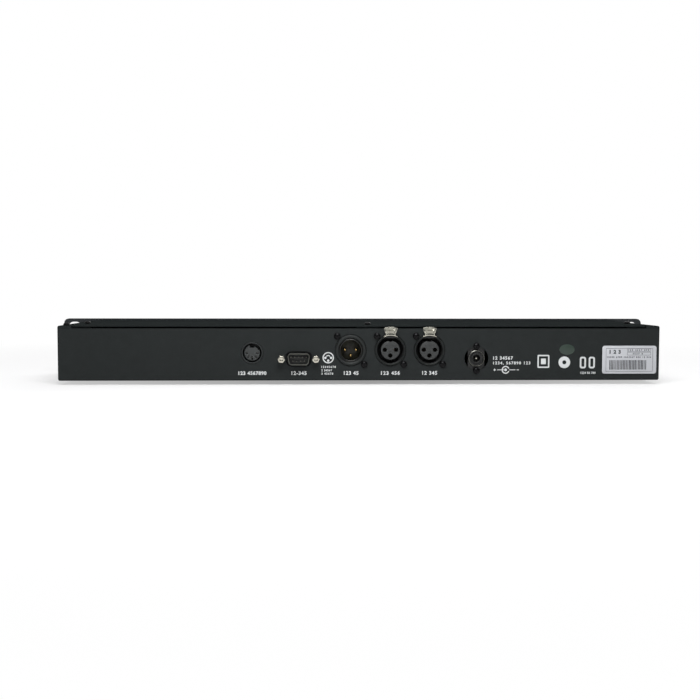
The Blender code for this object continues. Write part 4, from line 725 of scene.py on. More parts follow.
def characters(text, spacing, weight):
    """A flat mesh of characters, with its lower and upper corner, in metres."""
    curve = bpy.data.curves.new("legend", "FONT")
    curve.body = text
    curve.size = 10 * MM
    curve.offset = weight
    curve.resolution_u = 4
    curve.space_character = spacing
    mesh = evaluated(bpy.data.objects.new("legend", curve))
    corners = np.array([vertex.co for vertex in mesh.vertices])
    return mesh, corners.min(0), corners.max(0)


def legend(text, width, height, x=0.0, y=0.0, weight=0.00035):
    """Plain characters as a thin shape, spaced out to fill a box, from its middle. Weight thickens the strokes."""
    ratios = []
    for spacing in (1.0, 2.0):
        mesh, low, high = characters(text, spacing, weight)
        ratios.append((high[0] - low[0]) / (high[1] - low[1]))
    if len(text) > 1:
        wanted = 1 + (width / height - ratios[0]) / (ratios[1] - ratios[0])
        mesh, low, high = characters(text, min(2.5, max(0.9, wanted)), weight)
    mesh.transform(Matrix.Translation((-(low[0] + high[0]) / 2, -(low[1] + high[1]) / 2, 0)))
    mesh.transform(Matrix.Diagonal((width * MM / (high[0] - low[0]), height * MM / (high[1] - low[1]), 1, 1)))
    work = opened(shifted(mesh, x, y))
    bmesh.ops.remove_doubles(work, verts=work.verts, dist=INK_MERGE)
    top = bmesh.ops.extrude_face_region(work, geom=work.faces[:])
    raised = [item for item in top["geom"] if isinstance(item, bmesh.types.BMVert)]
    bmesh.ops.translate(work, vec=(0, 0, sizes().ink_height), verts=raised)
    return mesh_of(work)


def ink(*outlines):
    """Printed area as a thin shape."""
    return slab(outlines, 0, sizes().ink_height / MM)


# Trees for what repeats

TREES = {}


class Growth(Nodes):
    """A geometry tree with named inputs, which copies one shape to many points."""

    def __init__(self, name, **sockets):
        super().__init__(bpy.data.node_groups.new(name, "GeometryNodeTree"))
        face = self.tree.interface
        face.new_socket("Geometry", in_out="INPUT", socket_type="NodeSocketGeometry")
        self.names = {}
        for label, kind in {**sockets, "Material": "Material"}.items():
            label = label.replace("_", " ")
            self.names[label] = face.new_socket(label, in_out="INPUT", socket_type="NodeSocket" + kind).identifier
        face.new_socket("Geometry", in_out="OUTPUT", socket_type="NodeSocketGeometry")
        self.start = self.tree.nodes.new("NodeGroupInput").outputs

    def given(self, **labels):
        """Inputs of a node that inputs of the tree feed, by the names of both."""
        return {socket.replace("_", " "): self.start[label] for socket, label in labels.items()}

    def end(self, points, instance, **more):
        """Ends the tree: copies at points, made real, with their material."""
        inputs = {"Points": points, "Instance": instance, **more}
        placed = self.node("GeometryNodeInstanceOnPoints", {}, inputs).outputs[0]
        real = self.node("GeometryNodeRealizeInstances", {}, {0: placed}).outputs[0]
        dressed = self.node("GeometryNodeSetMaterial", {}, {"Geometry": real, **self.given(Material="Material")})
        self.node("NodeGroupOutput", {}, {0: dressed.outputs[0]})
        return self

    def grow(self, base, finish, **values):
        """The mesh that the tree makes from a base mesh."""
        holder = bpy.data.objects.new("growth", base)
        modifier = holder.modifiers.new("growth", "NODES")
        modifier.node_group = self.tree
        modifier[self.names["Material"]] = FINISHES[finish]
        for label, value in values.items():
            modifier[self.names[label.replace("_", " ")]] = value
        return evaluated(holder)


def grow_copies():
    """Copies of a part at points, each turned about its own axis by a seeded amount."""
    growth = Growth("Copies", Part="Object", Most_turn="Float", Seed="Int")
    part = growth.node("GeometryNodeObjectInfo", {"transform_space": "ORIGINAL"}, growth.given(Object="Part"))
    most = {3: growth.start["Most turn"], **growth.given(Seed="Seed")}
    turn = growth.node("FunctionNodeRandomValue", {"data_type": "FLOAT"}, most)
    rotation = growth.node("ShaderNodeCombineXYZ", {}, {"Z": turn.outputs[1]})
    euler = growth.node("FunctionNodeEulerToRotation", {}, {0: rotation.outputs[0]})
    return growth.end(growth.start["Geometry"], part.outputs["Geometry"], Rotation=euler.outputs[0])


def grow_ribs():
    """Round ribs that stand on a circle."""
    growth = Growth("Ribs", Count="Int", Radius="Float", Rib_radius="Float", Rib_length="Float")
    circle = growth.node("GeometryNodeMeshCircle", {}, growth.given(Vertices="Count", Radius="Radius"))
    rib = growth.node(
        "GeometryNodeMeshCylinder", {}, {"Vertices": 8, **growth.given(Radius="Rib radius", Depth="Rib length")})
    return growth.end(circle.outputs[0], rib.outputs[0])


def grow_cells():
    """A grid of flat cells, one for each character of a display."""
    growth = Growth("Cells", Columns="Int", Rows="Int", Width="Float", Height="Float", Cell_width="Float",
                    Cell_height="Float", Thickness="Float")
    grid = growth.node("GeometryNodeMeshGrid", {}, growth.given(
        Size_X="Width", Size_Y="Height", Vertices_X="Columns", Vertices_Y="Rows"))
    size = growth.node("ShaderNodeCombineXYZ", {}, growth.given(X="Cell width", Y="Cell height", Z="Thickness"))
    cell = growth.node("GeometryNodeMeshCube", {}, {"Size": size.outputs[0]})
    return growth.end(grid.outputs[0], cell.outputs[0])


def points_at(*spots):
    """A mesh of loose points."""
    mesh = bpy.data.meshes.new("points")
    mesh.from_pydata([[place * MM for place in spot] for spot in spots], [], [])
    return mesh


def copies(part, finish, spots, most_turn=0.0, seed=0):
    """Copies of a mesh at spots, made by the tree of copies."""
    source = bpy.data.objects.new("part", part)
    bpy.context.scene.collection.objects.link(source)
    mesh = TREES["copies"].grow(points_at(*spots), finish, Part=source, Most_turn=most_turn, Seed=seed)
    bpy.data.objects.remove(source)
    return mesh


class RECORDER_OT_trees(bpy.types.Operator):
    """Makes the geometry trees for screws, pins, ribs and cells"""
    bl_idname = "recorder.trees"
    bl_label = "Trees"

    def execute(self, context):
        TREES.update(copies=grow_copies(), ribs=grow_ribs(), cells=grow_cells())
        return {"FINISHED"}


# Screws

# Radius and height of a head, and how far the top of a screw's solid is above the seat of its head
HEAD_RADIUS, HEAD_HEIGHT, HEAD_RISE = 2.45, 1.75, 1.8


def screw_shape(radius, height, length):
    """A pan head screw with a cross recess, its head from Z 0 up."""
    dome = ((0, 1), (0.35, 0.985), (0.62, 0.9), (0.85, 0.68), (0.97, 0.36), (1, 0.1), (0.985, 0), (0.55, 0))
    profile = [(radius * across, height * up) for across, up in dome]
    head = lathe(profile + [(0.55 * radius, -length), (0, -length)], 40)
    low, high = height * 0.35, height * 1.2
    width, reach = sizes().recess_width / MM, 1.24 * radius
    slots = [block(reach, width, low, high), block(width, reach, low, high)]
    socket = lathe([(0, height * 0.2), (width * 0.9, height * 0.5), (width * 1.1, high), (0, high)], 16)
    return cut_from(head, *slots, socket)


def screw_spots(nodes, side):
    """Where the heads of screws sit, in millimetres in the coordinates of a side."""
    outward = 2 if side is UP else 1
    spots = []
    for node in nodes:
        spot = middle(node)
        spot[outward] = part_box(node)[1][outward] - HEAD_RISE * MM
        spots.append([place / MM for place in side.inverted() @ spot])
    return spots


class RECORDER_OT_screws(bpy.types.Operator):
    """Makes the black pan head screws of the sockets, the inlet and the lid"""
    bl_idname = "recorder.screws"
    bl_label = "Screws"

    def execute(self, context):
        rear = [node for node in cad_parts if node.endswith(("_screw_upper", "_screw_lower"))]
        lid = ["cover_screw_left", "cover_screw_middle", "cover_screw_right", "corner_screw"]
        for name, nodes, side, length, finish in (
                ("rear_screws", rear, REAR, 5, "black_oxide"), ("lid_screws", lid, UP, 4, "black_matte")):
            part = screw_shape(HEAD_RADIUS, HEAD_HEIGHT, length)
            mesh = copies(part, finish, screw_spots(nodes, side), math.tau, 7)
            piece(name, mesh, finish, side, stands_for=nodes, smooth=32)
        return {"FINISHED"}


# Rear sockets, with heights from the wall's outer face

# The wall's inner face, on which housings sit, the radius of a rim, and the reach of a pin from the middle
SEAT, RIM, PIN_REACH = -1.5, 11.15, 4.1


def socket_body(well, rim):
    """A housing behind the wall with a round hole, and a turned rim around the well."""
    housing = slab([rounded(0, 0, 26, 26, 1.6), ring(0, 0, 10.3, 64)], SEAT - 20, SEAT)
    return housing, lathe(rim + [(well + 0.5, -15.5), (well, -15)], closed=True)


class RECORDER_OT_input(bpy.types.Operator):
    """Makes the male three pole socket"""
    bl_idname = "recorder.dmx_input"
    bl_label = "Control input"

    def execute(self, context):
        place = on_side(REAR, middle("dmx_in_body").x, REAR_Y, SOCKET_Z)
        well, floor, tip = 8.4, -14, -2.6
        rim = [(well, -0.4), (well + 0.35, 0.55), (well + 1.1, 1.1), (RIM - 0.9, 1.2), (RIM - 0.2, 0.85),
               (RIM, 0.3), (RIM, -1.4), (10.2, -1.5), (10.2, -15.5)]
        shell = gathered(*socket_body(well, rim))
        piece("dmx_in_shell", shell, "die_cast", place, stands_for=["dmx_in_body"])
        sleeve = lathe([(well - 0.02, -0.9), (well - 0.3, -1.2), (well - 0.3, -14), (well - 0.02, -14)], closed=True)
        piece("dmx_in_lining", sleeve, "bronze_lining", place)
        lip = lathe(ring(well - 0.5, 0.35, 0.45, 12), closed=True)
        piece("dmx_in_lip", lip, "gloss_black", place)
        base = lathe([(0, floor + 1.4), (6.9, floor + 1.4), (8, floor + 0.9), (8, floor - 0.6), (0, floor - 0.6)])
        rib = soften(block(2.2, 1, floor + 1.6, -1.6, 0, 7.6), 0.2)
        piece("dmx_in_base", gathered(base, rib), "cup_floor", place, stands_for=["dmx_in_insert"])
        pin = lathe([(0, tip), (0.5, tip - 0.1), (0.95, tip - 0.5), (1.18, tip - 1.2), (1.18, floor + 1.2),
                     (0, floor + 1.2)], 32)
        mesh = copies(pin, "gold", [(PIN_REACH, 0, 0), (-PIN_REACH, 0, 0), (0, -PIN_REACH, 0)])
        piece("dmx_in_pins", mesh, "gold", place)
        return {"FINISHED"}


def make_output(prefix):
    """A female socket: shell, insert with contacts, and release lever."""
    place = on_side(REAR, middle(prefix + "_insert").x, REAR_Y, SOCKET_Z)
    well, radius, face = 9.75, 7, 0.4
    rim = [(well, -0.2), (well + 0.2, 0.6), (well + 0.45, 0.75), (well + 0.7, 1.15), (RIM - 0.35, 1.15),
           (RIM - 0.08, 0.85), (RIM, 0.4), (RIM, -1.4), (10.35, -1.5), (10.35, -15.5)]
    housing, lining = socket_body(well, rim)
    gap = block(7.6, 6, -14.5, 2, 0, 11.9)
    shell = gathered(cut_from(housing, gap.copy()), cut_from(lining, gap))
    piece(prefix + "_shell", shell, "die_cast", place, stands_for=[prefix + "_body"])
    # Painted shade: a black sleeve inside the well, where the shell's inner wall lies in shade.
    hollow = lathe([(well - 0.02, -0.5), (well - 0.25, -0.8), (well - 0.25, -13.4), (0, -13.4), (0, -13.9),
                    (well - 0.02, -13.9)])
    hollow = cut_from(hollow, block(7.6, 4, -12, 2, 0, 10.9))
    piece(prefix + "_well", hollow, "hollow_black", place)
    body = lathe([(0, face), (radius - 0.5, face), (radius - 0.15, face - 0.15), (radius, face - 0.5),
                  (radius, -13.6), (0, -13.6)])
    spots = [(PIN_REACH, 0.3, 0), (-PIN_REACH, 0.3, 0), (0, 0.2 - PIN_REACH, 0)]
    bore = [(0, 1), (1.85, 1), (1.6, face - 0.3), (1.6, -9), (0, -9)]
    tools = [shifted(lathe(bore, 32), *spot) for spot in spots]
    tools += [block(2.6, 1.6, -14, 2, 0, radius), block(7.4, 0.16, face - 0.12, 1, 0, 3.4),
              block(6.4, 0.14, face - 0.12, 1, 0, 2.4)]
    lock = soften(block(1.9, 1.9, face - 1, face + 0.22), 0.12)
    body = gathered(cut_from(body, *tools), lock)
    piece(prefix + "_block", body, "insert_nylon", place, stands_for=[prefix + "_insert"])
    tube = lathe([(1, -4.8), (1.4, -4.5), (1.58, -4.8), (1.58, -8.9), (1, -8.9)], 32, closed=True)
    # Painted shade: black plugs in the contacts' bores, where there is only shade.
    bore_shade = lathe([(0, -6.5), (1, -6.5), (1, -8.8), (0, -8.8)], 24)
    for name, part, finish, slot in (
            ("_contacts", tube, "gold", "nickel"), ("_contact_ends", bore_shade, "hollow_black", "black_plastic")):
        piece(prefix + name, copies(part, finish, spots), finish, place)
    make_lever(prefix, place)


def lever_outline():
    """The fan shaped tab: a domed top, sides that draw in, a neck, and a thin flared lip that follows the well."""
    top, base, neck, lip = 5.05, 4, 3.5, 5
    shoulder, dome = 15.9, 1.1
    inner, outer = 10.75, 11.4
    points = [(base, 12.9), (top, shoulder)]
    for angle in np.linspace(0, math.pi, 17)[1:-1]:
        across = math.cos(angle)
        points.append((top * across, shoulder + dome * (1 - abs(across) ** 2.6)))
    points += [(-top, shoulder), (-base, 12.9), (-base + 0.25, 12.5), (-neck, 12.4), (-neck, 11.3)]
    neck_turn, lip_turn, inner_turn = math.asin(neck / outer), math.asin(lip / outer), math.asin(lip / inner)
    left = -np.linspace(neck_turn, lip_turn, 4)[1:]
    right = np.linspace(lip_turn, neck_turn, 4)[:-1]
    for radius, turns in ((outer, left), (inner, np.linspace(-inner_turn, inner_turn, 20)), (outer, right)):
        points += [(radius * math.sin(turn), radius * math.cos(turn)) for turn in turns]
    return points + [(neck, 11.3), (neck, 12.4), (base - 0.25, 12.5)]


def make_lever(prefix, place):
    """The bright release lever with finger grooves, its arm, hook and pivot inside."""
    low, high = 1.7, 2.65
    tab = soften(slab([lever_outline()], low, high), 0.2, 3)
    window = slab([arc_band(11.4, 12.35, 76, 104)], 1, 3.4)
    hollow = moved(lathe([(0, 0), (3.6, 0), (2.6, -0.4), (0, -0.5)], 48), Matrix.Diagonal((1, 0.28, 1, 1)))
    shifted(hollow, 0, 15.3, high + 0.01)
    grooves = [soften(block(0.5, 1.1, high - 0.3, high + 1, x, 13.55), 0.1, 1) for x in (-2.4, -0.8, 0.8, 2.4)]
    tab = cut_from(tab, window, hollow, *grooves)
    arm = soften(block(6, 0.6, -11.5, 2.1, 0, 11.1), 0.15)
    hook = soften(block(5.6, 2.4, -11.4, -10.5, 0, 10.3), 0.15)
    rods = [lathe([(0, half), (radius, half), (radius, -half), (0, -half)], 24)
            for radius, half in ((1.3, 2.8), (0.8, 5))]
    pivot = shifted(moved(gathered(*rods), Matrix.Rotation(math.pi / 2, 4, "Y")), 0, 11.1, -5)
    piece(prefix + "_lever", gathered(tab, arm, hook, pivot), "lever_nickel", place, body=prefix + "_latch",
          stands_for=[prefix + "_latch"])


class RECORDER_OT_outputs(bpy.types.Operator):
    """Makes the two latching female sockets"""
    bl_idname = "recorder.dmx_outputs"
    bl_label = "Control outputs"

    def execute(self, context):
        make_output("dmx_out")
        make_output("fx_out")
        return {"FINISHED"}


class RECORDER_OT_din(bpy.types.Operator):
    """Makes the five pole socket for a fog machine"""
    bl_idname = "recorder.fog_socket"
    bl_label = "Fog machine socket"

    def execute(self, context):
        place = over("din_insert", REAR, REAR_Y)
        (width, _, height), (low, high) = span("din_shell"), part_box("din_shell")
        rise = ((low.z + high.z) / 2 - middle("din_insert").z) / MM
        housing = slab([rounded(0, rise, width, height, 1), ring(0, 0, 7.4, 64)], behind_wall("din_shell"), SEAT)
        collar = lathe([(6.85, -9.3), (6.85, 0.35), (7, 0.55), (7.6, 0.6), (7.85, 0.4), (7.9, 0.1), (7.9, -1.6),
                        (7.5, -9.3)], closed=True)
        # Painted shade: a black floor at the bottom of the gap between the collar and the insert.
        floor = lathe([(0, -8.8), (7.2, -8.8), (7.2, -9.3), (0, -9.3)], 48)
        collar = gathered(housing, collar)
        piece("din_collar", collar, "collar_nylon", place, stands_for=["din_shell"])
        piece("din_floor", floor, "hollow_black", place)
        radius, face, reach = 5.75, 0.2, 3.75
        body = lathe([(0, face), (radius - 0.4, face), (radius, face - 0.35), (radius, -8.7), (0, -8.7)])
        turns = [math.radians(-angle) for angle in range(0, 181, 45)]
        spots = [(reach * math.cos(turn), reach * math.sin(turn), 0) for turn in turns]
        tools = []
        for width, turn, spot in zip((2.1, 2.1, 2.9, 2.1, 2.1), turns, spots):
            slot = slab([rounded(0, 0, width, 1.1, 0.5)], -6, 1)
            tools.append(shifted(moved(slot, Matrix.Rotation(turn, 4, "Z")), *spot))
        tools += [block(3.2, 4, -8.6, 1, 0, radius), slab([arc_band(4.9, 7, 24, 84)], -6, 1)]
        body = cut_from(body, *tools)
        piece("din_block", body, "din_nylon", place, stands_for=["din_insert"])
        blade = block(1.3, 0.3, -6.2, -4.4)
        piece("din_contacts", copies(blade, "tin", spots), "tin", place)
        return {"FINISHED"}


class RECORDER_OT_serial(bpy.types.Operator):
    """Makes the nine pole serial socket with its jack screws"""
    bl_idname = "recorder.serial_socket"
    bl_label = "Serial socket"

    def execute(self, context):
        left, right = middle("serial_jackscrew_left"), middle("serial_jackscrew_right")
        place = on_side(REAR, (left.x + right.x) / 2, REAR_Y, (left.z + right.z) / 2)
        width, height, corner, wall, face = 16, 8.3, 2.4, 0.45, -0.2
        opening = d_shape(0, 0, width - 2 * wall, height - 2 * wall, corner - wall)
        holes = [ring(x, 0, 1.8, 32) for x in (-12.5, 12.5)]
        flange = slab([rounded(0, 0, 30.8, 12.5, 1.2), opening, *holes], SEAT - 1, SEAT)
        hood = soften(slab([d_shape(0, 0, width, height, corner), opening], SEAT - 0.3, 4.8), 0.14, 2, 60)
        piece("serial_hood", hood, "shell_tin", place, stands_for=["serial_shell"])
        # Dark zinc flange behind the wall, dark also as painted shade of the gap around the hood in the wall's
        # cut-out.
        piece("serial_flange", soften(flange, 0.15, 2, 60), "black_zinc", place)
        inside = d_shape(0, 0, width - 2 * wall - 0.3, height - 2 * wall - 0.3, corner - wall)
        core = soften(slab([inside], SEAT - 9, face), 0.15)
        back = soften(block(20, 11, behind_wall("serial_insert"), SEAT - 1.3), 0.4)
        piece("serial_core", gathered(core, back), "serial_insulator", place, stands_for=["serial_insert"])
        pitch, row = 2.77, 1.42
        spots = [((i - 2) * pitch, row, 0) for i in range(5)] + [((i - 1.5) * pitch, -row, 0) for i in range(4)]
        pin = lathe([(0, 4), (0.3, 3.9), (0.5, 3.5), (0.5, face - 0.2), (0, face - 0.2)], 20)
        # Painted shade: black rings on the insulator around the pins, where their holes lie in shade.
        collar = lathe([(0, face + 0.02), (0.85, face + 0.02), (0.85, face - 0.2), (0, face - 0.2)], 20)
        piece("serial_pins", copies(pin, "shell_tin", spots), "shell_tin", place)
        piece("serial_pin_rings", copies(collar, "hollow_black", spots), "hollow_black", place)
        post = soften(slab([ring(0, 0, 4.8 / math.sqrt(3), 6)], 0.3, 5.5), 0.25, 2, 50)
        post = cut_from(post, lathe([(0, 6), (2.15, 6), (1.25, 5.2), (1.25, 1.6), (0, 1.6)], 32))
        shank = lathe([(0, 0.6), (1.45, 0.6), (1.45, -5.4), (0, -5.4)], 24)
        for side, name in ((-1, "right"), (1, "left")):
            node = "serial_jackscrew_" + name
            mesh = copies(gathered(post, shank), "nickel", [(0, 0, 0)])
            moved(mesh, Matrix.Rotation(math.radians(10 * side), 4, "Z"))
            piece("serial_post_" + name, mesh, "nickel", over(node, REAR, REAR_Y), stands_for=[node])
        return {"FINISHED"}


class RECORDER_OT_inlet(bpy.types.Operator):
    """Makes the low voltage inlet"""
    bl_idname = "recorder.power_inlet"
    bl_label = "Power inlet"

    def execute(self, context):
        place = over("dc_jack_ring", REAR, REAR_Y)
        end, back = 6.1, behind_wall("dc_jack_body")
        rise = (span("dc_jack_body")[2] - 2 * end) / 2
        outline = [(x, y + rise) for x, y in arc(end, 0, 180, 24)] + [(x, y - rise) for x, y in arc(end, 180, 360, 24)]
        holes = [ring(0, y, 1.8, 32) for y in (8.95, -8.95)]
        plate = soften(slab([outline, ring(0, 0, 2.9), *holes], SEAT - 2, SEAT), 0.2, 2, 60)
        nose = lathe([(2.8, -9), (2.8, -0.6), (3, -0.35), (3.5, -0.3), (3.7, -0.5), (3.75, SEAT - 0.3),
                      (5.8, SEAT - 0.3), (5.8, back), (0, back), (0, -9.2), (2.8, -9.2)])
        body = gathered(plate, nose)
        piece("inlet_body", body, "black_nylon", place, stands_for=["dc_jack_body"])
        sleeve = lathe([(5.3, SEAT + 0.3), (5.3, 0.3), (5.4, 0.55), (5.6, 0.6), (5.85, 0.5), (6.02, 0.3), (end, 0),
                        (end, SEAT + 0.3)], closed=True)
        piece("inlet_ring", sleeve, "dark_chrome", place, stands_for=["dc_jack_ring"])
        pin = lathe([(0, -1.2), (0.6, -1.3), (1, -1.9), (1, -9.1), (0, -9.1)], 32)
        piece("inlet_pin", pin, "nickel", place)
        return {"FINISHED"}


# Print, label and sticker on the rear wall, in millimetres from the wall's middle and lower edge

INK_STANDOFF = 0.01 * MM

# Text, left edge, right edge, foot and head of each row, with the left edge at the greater X of the frame
PRINT_ROWS = (
    ("123 4567890", 89.7, 69.4, 4.1, 6.9),
    ("12-345", 51.2, 40.2, 4.1, 6.9),
    ("123 45", 13.0, 2.3, 4.1, 6.9),
    ("123 456", -14.2, -28.0, 4.1, 6.9),
    ("12 345", -44.4, -55.4, 4.1, 6.9),
    ("12345678", 29.4, 18.9, 9.2, 10.8),
    ("2 34567", 29.4, 21.6, 6.7, 8.3),
    ("3 45678", 29.4, 20.8, 4.3, 5.9),
    ("12 34567", -96.6, -111.2, 15.1, 17.7),
    ("1234, 567890 123", -96.6, -124.0, 11.3, 13.9),
    ("1234 56 789", -161.2, -172.5, 4.6, 6.3),
)


class RECORDER_OT_print(bpy.types.Operator):
    """Prints plain numbers and signs on the rear wall"""
    bl_idname = "recorder.rear_print"
    bl_label = "Rear print"

    def execute(self, context):
        meshes = [legend(text, left - right, high - low, -(left + right) / 2, (low + high) / 2)
                  for text, left, right, low, high in PRINT_ROWS]
        sign = [ink(ring(0, 0, 4.1, 64), ring(0, 0, 3.35, 64)), ink(arc_band(1.3, 1.9, 35, 145))]
        sign += [ink(ring(x, y, 0.85, 24)) for x, y in ((-2.1, -0.1), (2.1, -0.1), (0, -2.1))]
        meshes.append(shifted(gathered(*sign), -24.4, 16.7))
        x, y, raised = 105.8, 7.7, sizes().ink_height / MM / 2
        meshes.append(shifted(ink(ring(0, 0, 1, 32)), x, y))
        meshes.append(shifted(ink(arc_band(2.1, 2.9, 22, 338, 48)), x, y, raised))
        for left, right in ((99.6, 104.6), (108.4, 113.0)):
            meshes.append(ink(rounded((left + right) / 2, y, right - left, 0.5, 0.1)))
        for x, width, height, rise in ((97.7, 1.7, 0.5, 0), (97.7, 0.5, 1.7, raised), (114.8, 1.7, 0.5, 0)):
            meshes.append(shifted(ink(rounded(0, 0, width, height, 0.1)), x, y, rise))
        meshes.append(ink(*border(133.7, 13.9, 8.8, 9.6, 1, 0.8, 0.4)))
        meshes.append(ink(rounded(133.7, 13.9, 3.6, 4.2, 0.4)))
        meshes.append(ink(ring(149.2, 13.2, 4.3, 64), ring(149.2, 13.2, 1.5, 32)))
        meshes += [ink(*border(x, 13, 4.6, 8.6, 1.2, 1.6, 0.6)) for x in (163.0, 169.6)]
        place = on_side(REAR, 0, REAR_Y + INK_STANDOFF, WALL_LOW)
        piece("rear_print", gathered(*meshes), "white_ink", place)
        return {"FINISHED"}


class RECORDER_OT_label(bpy.types.Operator):
    """Makes the white label with its bars, and the oval sticker"""
    bl_idname = "recorder.labels"
    bl_label = "Label and sticker"

    def execute(self, context):
        left, right, low, high = 177.3, 217.6, 4.8, 25.4
        x, y, thick, bold = (left + right) / 2, (low + high) / 2, 0.12, 0.0006
        place = on_side(REAR, 0, REAR_Y + INK_STANDOFF, WALL_LOW)
        paper = soften(slab([rounded(x, y, right - left, high - low, 1.8)], 0, thick), 0.03, 2, 60)
        piece("label", paper, "label_paper", place)
        generator = np.random.default_rng(4)
        bars = []
        start, stop = 182.5, 210.3
        pitch = (stop - start) / sizes().label_bars
        for number in range(sizes().label_bars):
            width = pitch * generator.uniform(0.35, 0.7)
            bars.append(ink(rounded(start + (number + 0.5) * pitch, 11.3, width, 7, 0.02, 1)))
        heading = [legend("123", 8.4, 3, 186.8, 20.9, bold)]
        lines = [legend(text, width, 1.3, at, rise, bold) for text, width, at, rise in (
            ("123 4567 890", 15.4, 204.4, 22.2), ("4567 8", 7.6, 203.6, 19.5),
            ("12345 6789 1234567 890 12 345", 32.6, 197.2, 17.0))]
        for box in ((x, y - 0.2, 34.9, 17.1), (204.6, 22.2, 17.6, 2.3), (204.6, 19.5, 17.6, 2.3)):
            lines.append(ink(*border(*box, 0.22, 0.3, 0.12)))
        for name, meshes, finish in (
                ("bars", bars, "bar_ink"), ("heading", heading, "bar_ink"), ("lines", lines, "grey_ink")):
            piece("label_" + name, shifted(gathered(*meshes), 0, 0, thick), finish, place)
        oval = [(151.1 + 5.6 * x, 22.6 + 3.85 * y) for x, y in ring(0, 0, 1, 64)]
        piece("oval_sticker", soften(slab([oval], 0, 0.08), 0.02, 2, 60), "sticker_film", place)
        return {"FINISHED"}


# Controls on the front, with heights from the panel's face

# Width of the rim around a key's cap, width and length of its stem, and thickness of the rim
KEY_RIM, KEY_STEM, RIM_THICK = 1.1, 3.4, 1
KEY_TEXT = {"key_enter": "0", "key_menu": "9", "key_record": "1", "key_play": "2", "key_stop": "3"}
PROGRAM_KEYS = [f"program_key_{number}" for number in range(1, 9)]


def make_rectangular_key(node):
    """A grey or red key: dished cap, rim behind the panel, stem and plain number."""
    place, (outer_width, _, outer_height) = over(node, FRONT, PANEL_Y), span(node)
    width, height = outer_width - 2 * KEY_RIM, outer_height - 2 * KEY_RIM
    top, stem_end = over_panel(node)
    rim_back = stem_end + KEY_STEM
    cap = soften(slab([rounded(0, 0, width, height, 1)], rim_back + RIM_THICK - 0.1, top), 0.45, 4, 60)
    dish = lathe([(0, -0.28), (1.6, -0.22), (3, -0.06), (3.6, 0.1), (0, 0.3)], 48)
    cap = cut_from(cap, shifted(moved(dish, Matrix.Diagonal((1.15, 0.95, 1, 1))), 0, 0, top))
    rim = slab([rounded(0, 0, outer_width, outer_height, 1.4)], rim_back, rim_back + RIM_THICK)
    stem = block(KEY_STEM, KEY_STEM, stem_end, rim_back + 0.1)
    red = node == "key_record"
    finish = "key_red" if red else "key_grey"
    piece(node + "_cap", gathered(cap, rim, stem), finish, place, body=node, stands_for=[node], smooth=40)
    text = KEY_TEXT.get(node, node[-1])
    mark = shifted(legend(text, 1.1 if text == "1" else 2.2, 3.4), 0, 0, top - 0.25)
    piece(node + "_number", mark, "white_ink" if red else "dark_ink", place, body=node)


def make_round_key():
    """The large red key, with a dished cap."""
    radius = span("key_fog")[0] / 2 - KEY_RIM
    top, end = over_panel("key_fog")
    back = end + KEY_STEM
    profile = [(0, top - 0.55), (radius * 0.4, top - 0.47), (radius * 0.75, top - 0.15), (radius - 0.75, top),
               (radius - 0.35, top - 0.05), (radius - 0.08, top - 0.3), (radius, top - 0.7),
               (radius, back + RIM_THICK), (radius + KEY_RIM, back + RIM_THICK), (radius + KEY_RIM, back),
               (KEY_STEM / 2, back), (KEY_STEM / 2, end), (0, end)]
    piece("key_fog_cap", lathe(profile), "key_red", over("key_fog", FRONT, PANEL_Y), body="key_fog",
          stands_for=["key_fog"], smooth=40)


class RECORDER_OT_keys(bpy.types.Operator):
    """Makes the keys with their plain numbers"""
    bl_idname = "recorder.keys"
    bl_label = "Keys"

    def execute(self, context):
        for node in KEYS:
            if node != "key_fog":
                make_rectangular_key(node)
        make_round_key()
        return {"FINISHED"}


class RECORDER_OT_wheel(bpy.types.Operator):
    """Makes the ribbed wheel with its finger dimple"""
    bl_idname = "recorder.wheel"
    bl_label = "Wheel"

    def execute(self, context):
        top, end = over_panel("jog_wheel")
        core, back, pocket = span("jog_wheel")[0] / 2 - 0.35, 0.8, 3.6
        profile = [(0, top - 0.5), (core * 0.6, top - 0.42), (core - 2.4, top - 0.3), (core - 1.9, top),
                   (core - 0.9, top), (core - 0.3, top - 0.25), (core, top - 0.9), (core, back + 0.5),
                   (core - 0.5, back), (8.5, back), (8.5, back + pocket), (3, back + pocket), (3, end), (0, end)]
        bowl = lathe([(0, -1.6), (2.2, -1.35), (4, -0.7), (5.3, 0), (5.9, 0.5), (0, 0.9)], 64)
        body = cut_from(lathe(profile), shifted(bowl, 0, 9.5, top - 0.35))
        place = over("jog_wheel", FRONT, PANEL_Y)
        piece("wheel_body", body, "wheel_plastic", place, body="jog_wheel", stands_for=["jog_wheel"],
              smooth=30)
        ribs = TREES["ribs"].grow(
            points_at((0, 0, 0)), "wheel_plastic", Count=sizes().wheel_ribs, Radius=(core - 0.12) * MM,
            Rib_radius=0.42 * MM, Rib_length=(top - back - 1.6) * MM)
        piece("wheel_ribs", shifted(ribs, 0, 0, (top + back) / 2 - 0.1), "wheel_plastic", place, body="jog_wheel",
              smooth=50)
        return {"FINISHED"}


class RECORDER_OT_display(bpy.types.Operator):
    """Makes the display's glass and its character cells"""
    bl_idname = "recorder.display"
    bl_label = "Display"

    def execute(self, context):
        place = over("lcd_module", FRONT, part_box("lcd_module")[0].y)
        glass = slab([rounded(0, 0, 64.3, 16.2, 0.4)], -0.58, -0.3)
        piece("display_glass", glass, "display_glass", place)
        columns, rows = sizes().cell_columns, sizes().cell_rows
        cells = TREES["cells"].grow(
            points_at((0, 0, 0)), "cell_ink", Columns=columns, Rows=rows, Width=(columns - 1) * 3.55 * MM,
            Height=(rows - 1) * 5.95 * MM, Cell_width=2.95 * MM, Cell_height=4.85 * MM, Thickness=0.02 * MM)
        piece("display_cells", shifted(cells, 0, 0, -0.28), "cell_ink", place)
        return {"FINISHED"}


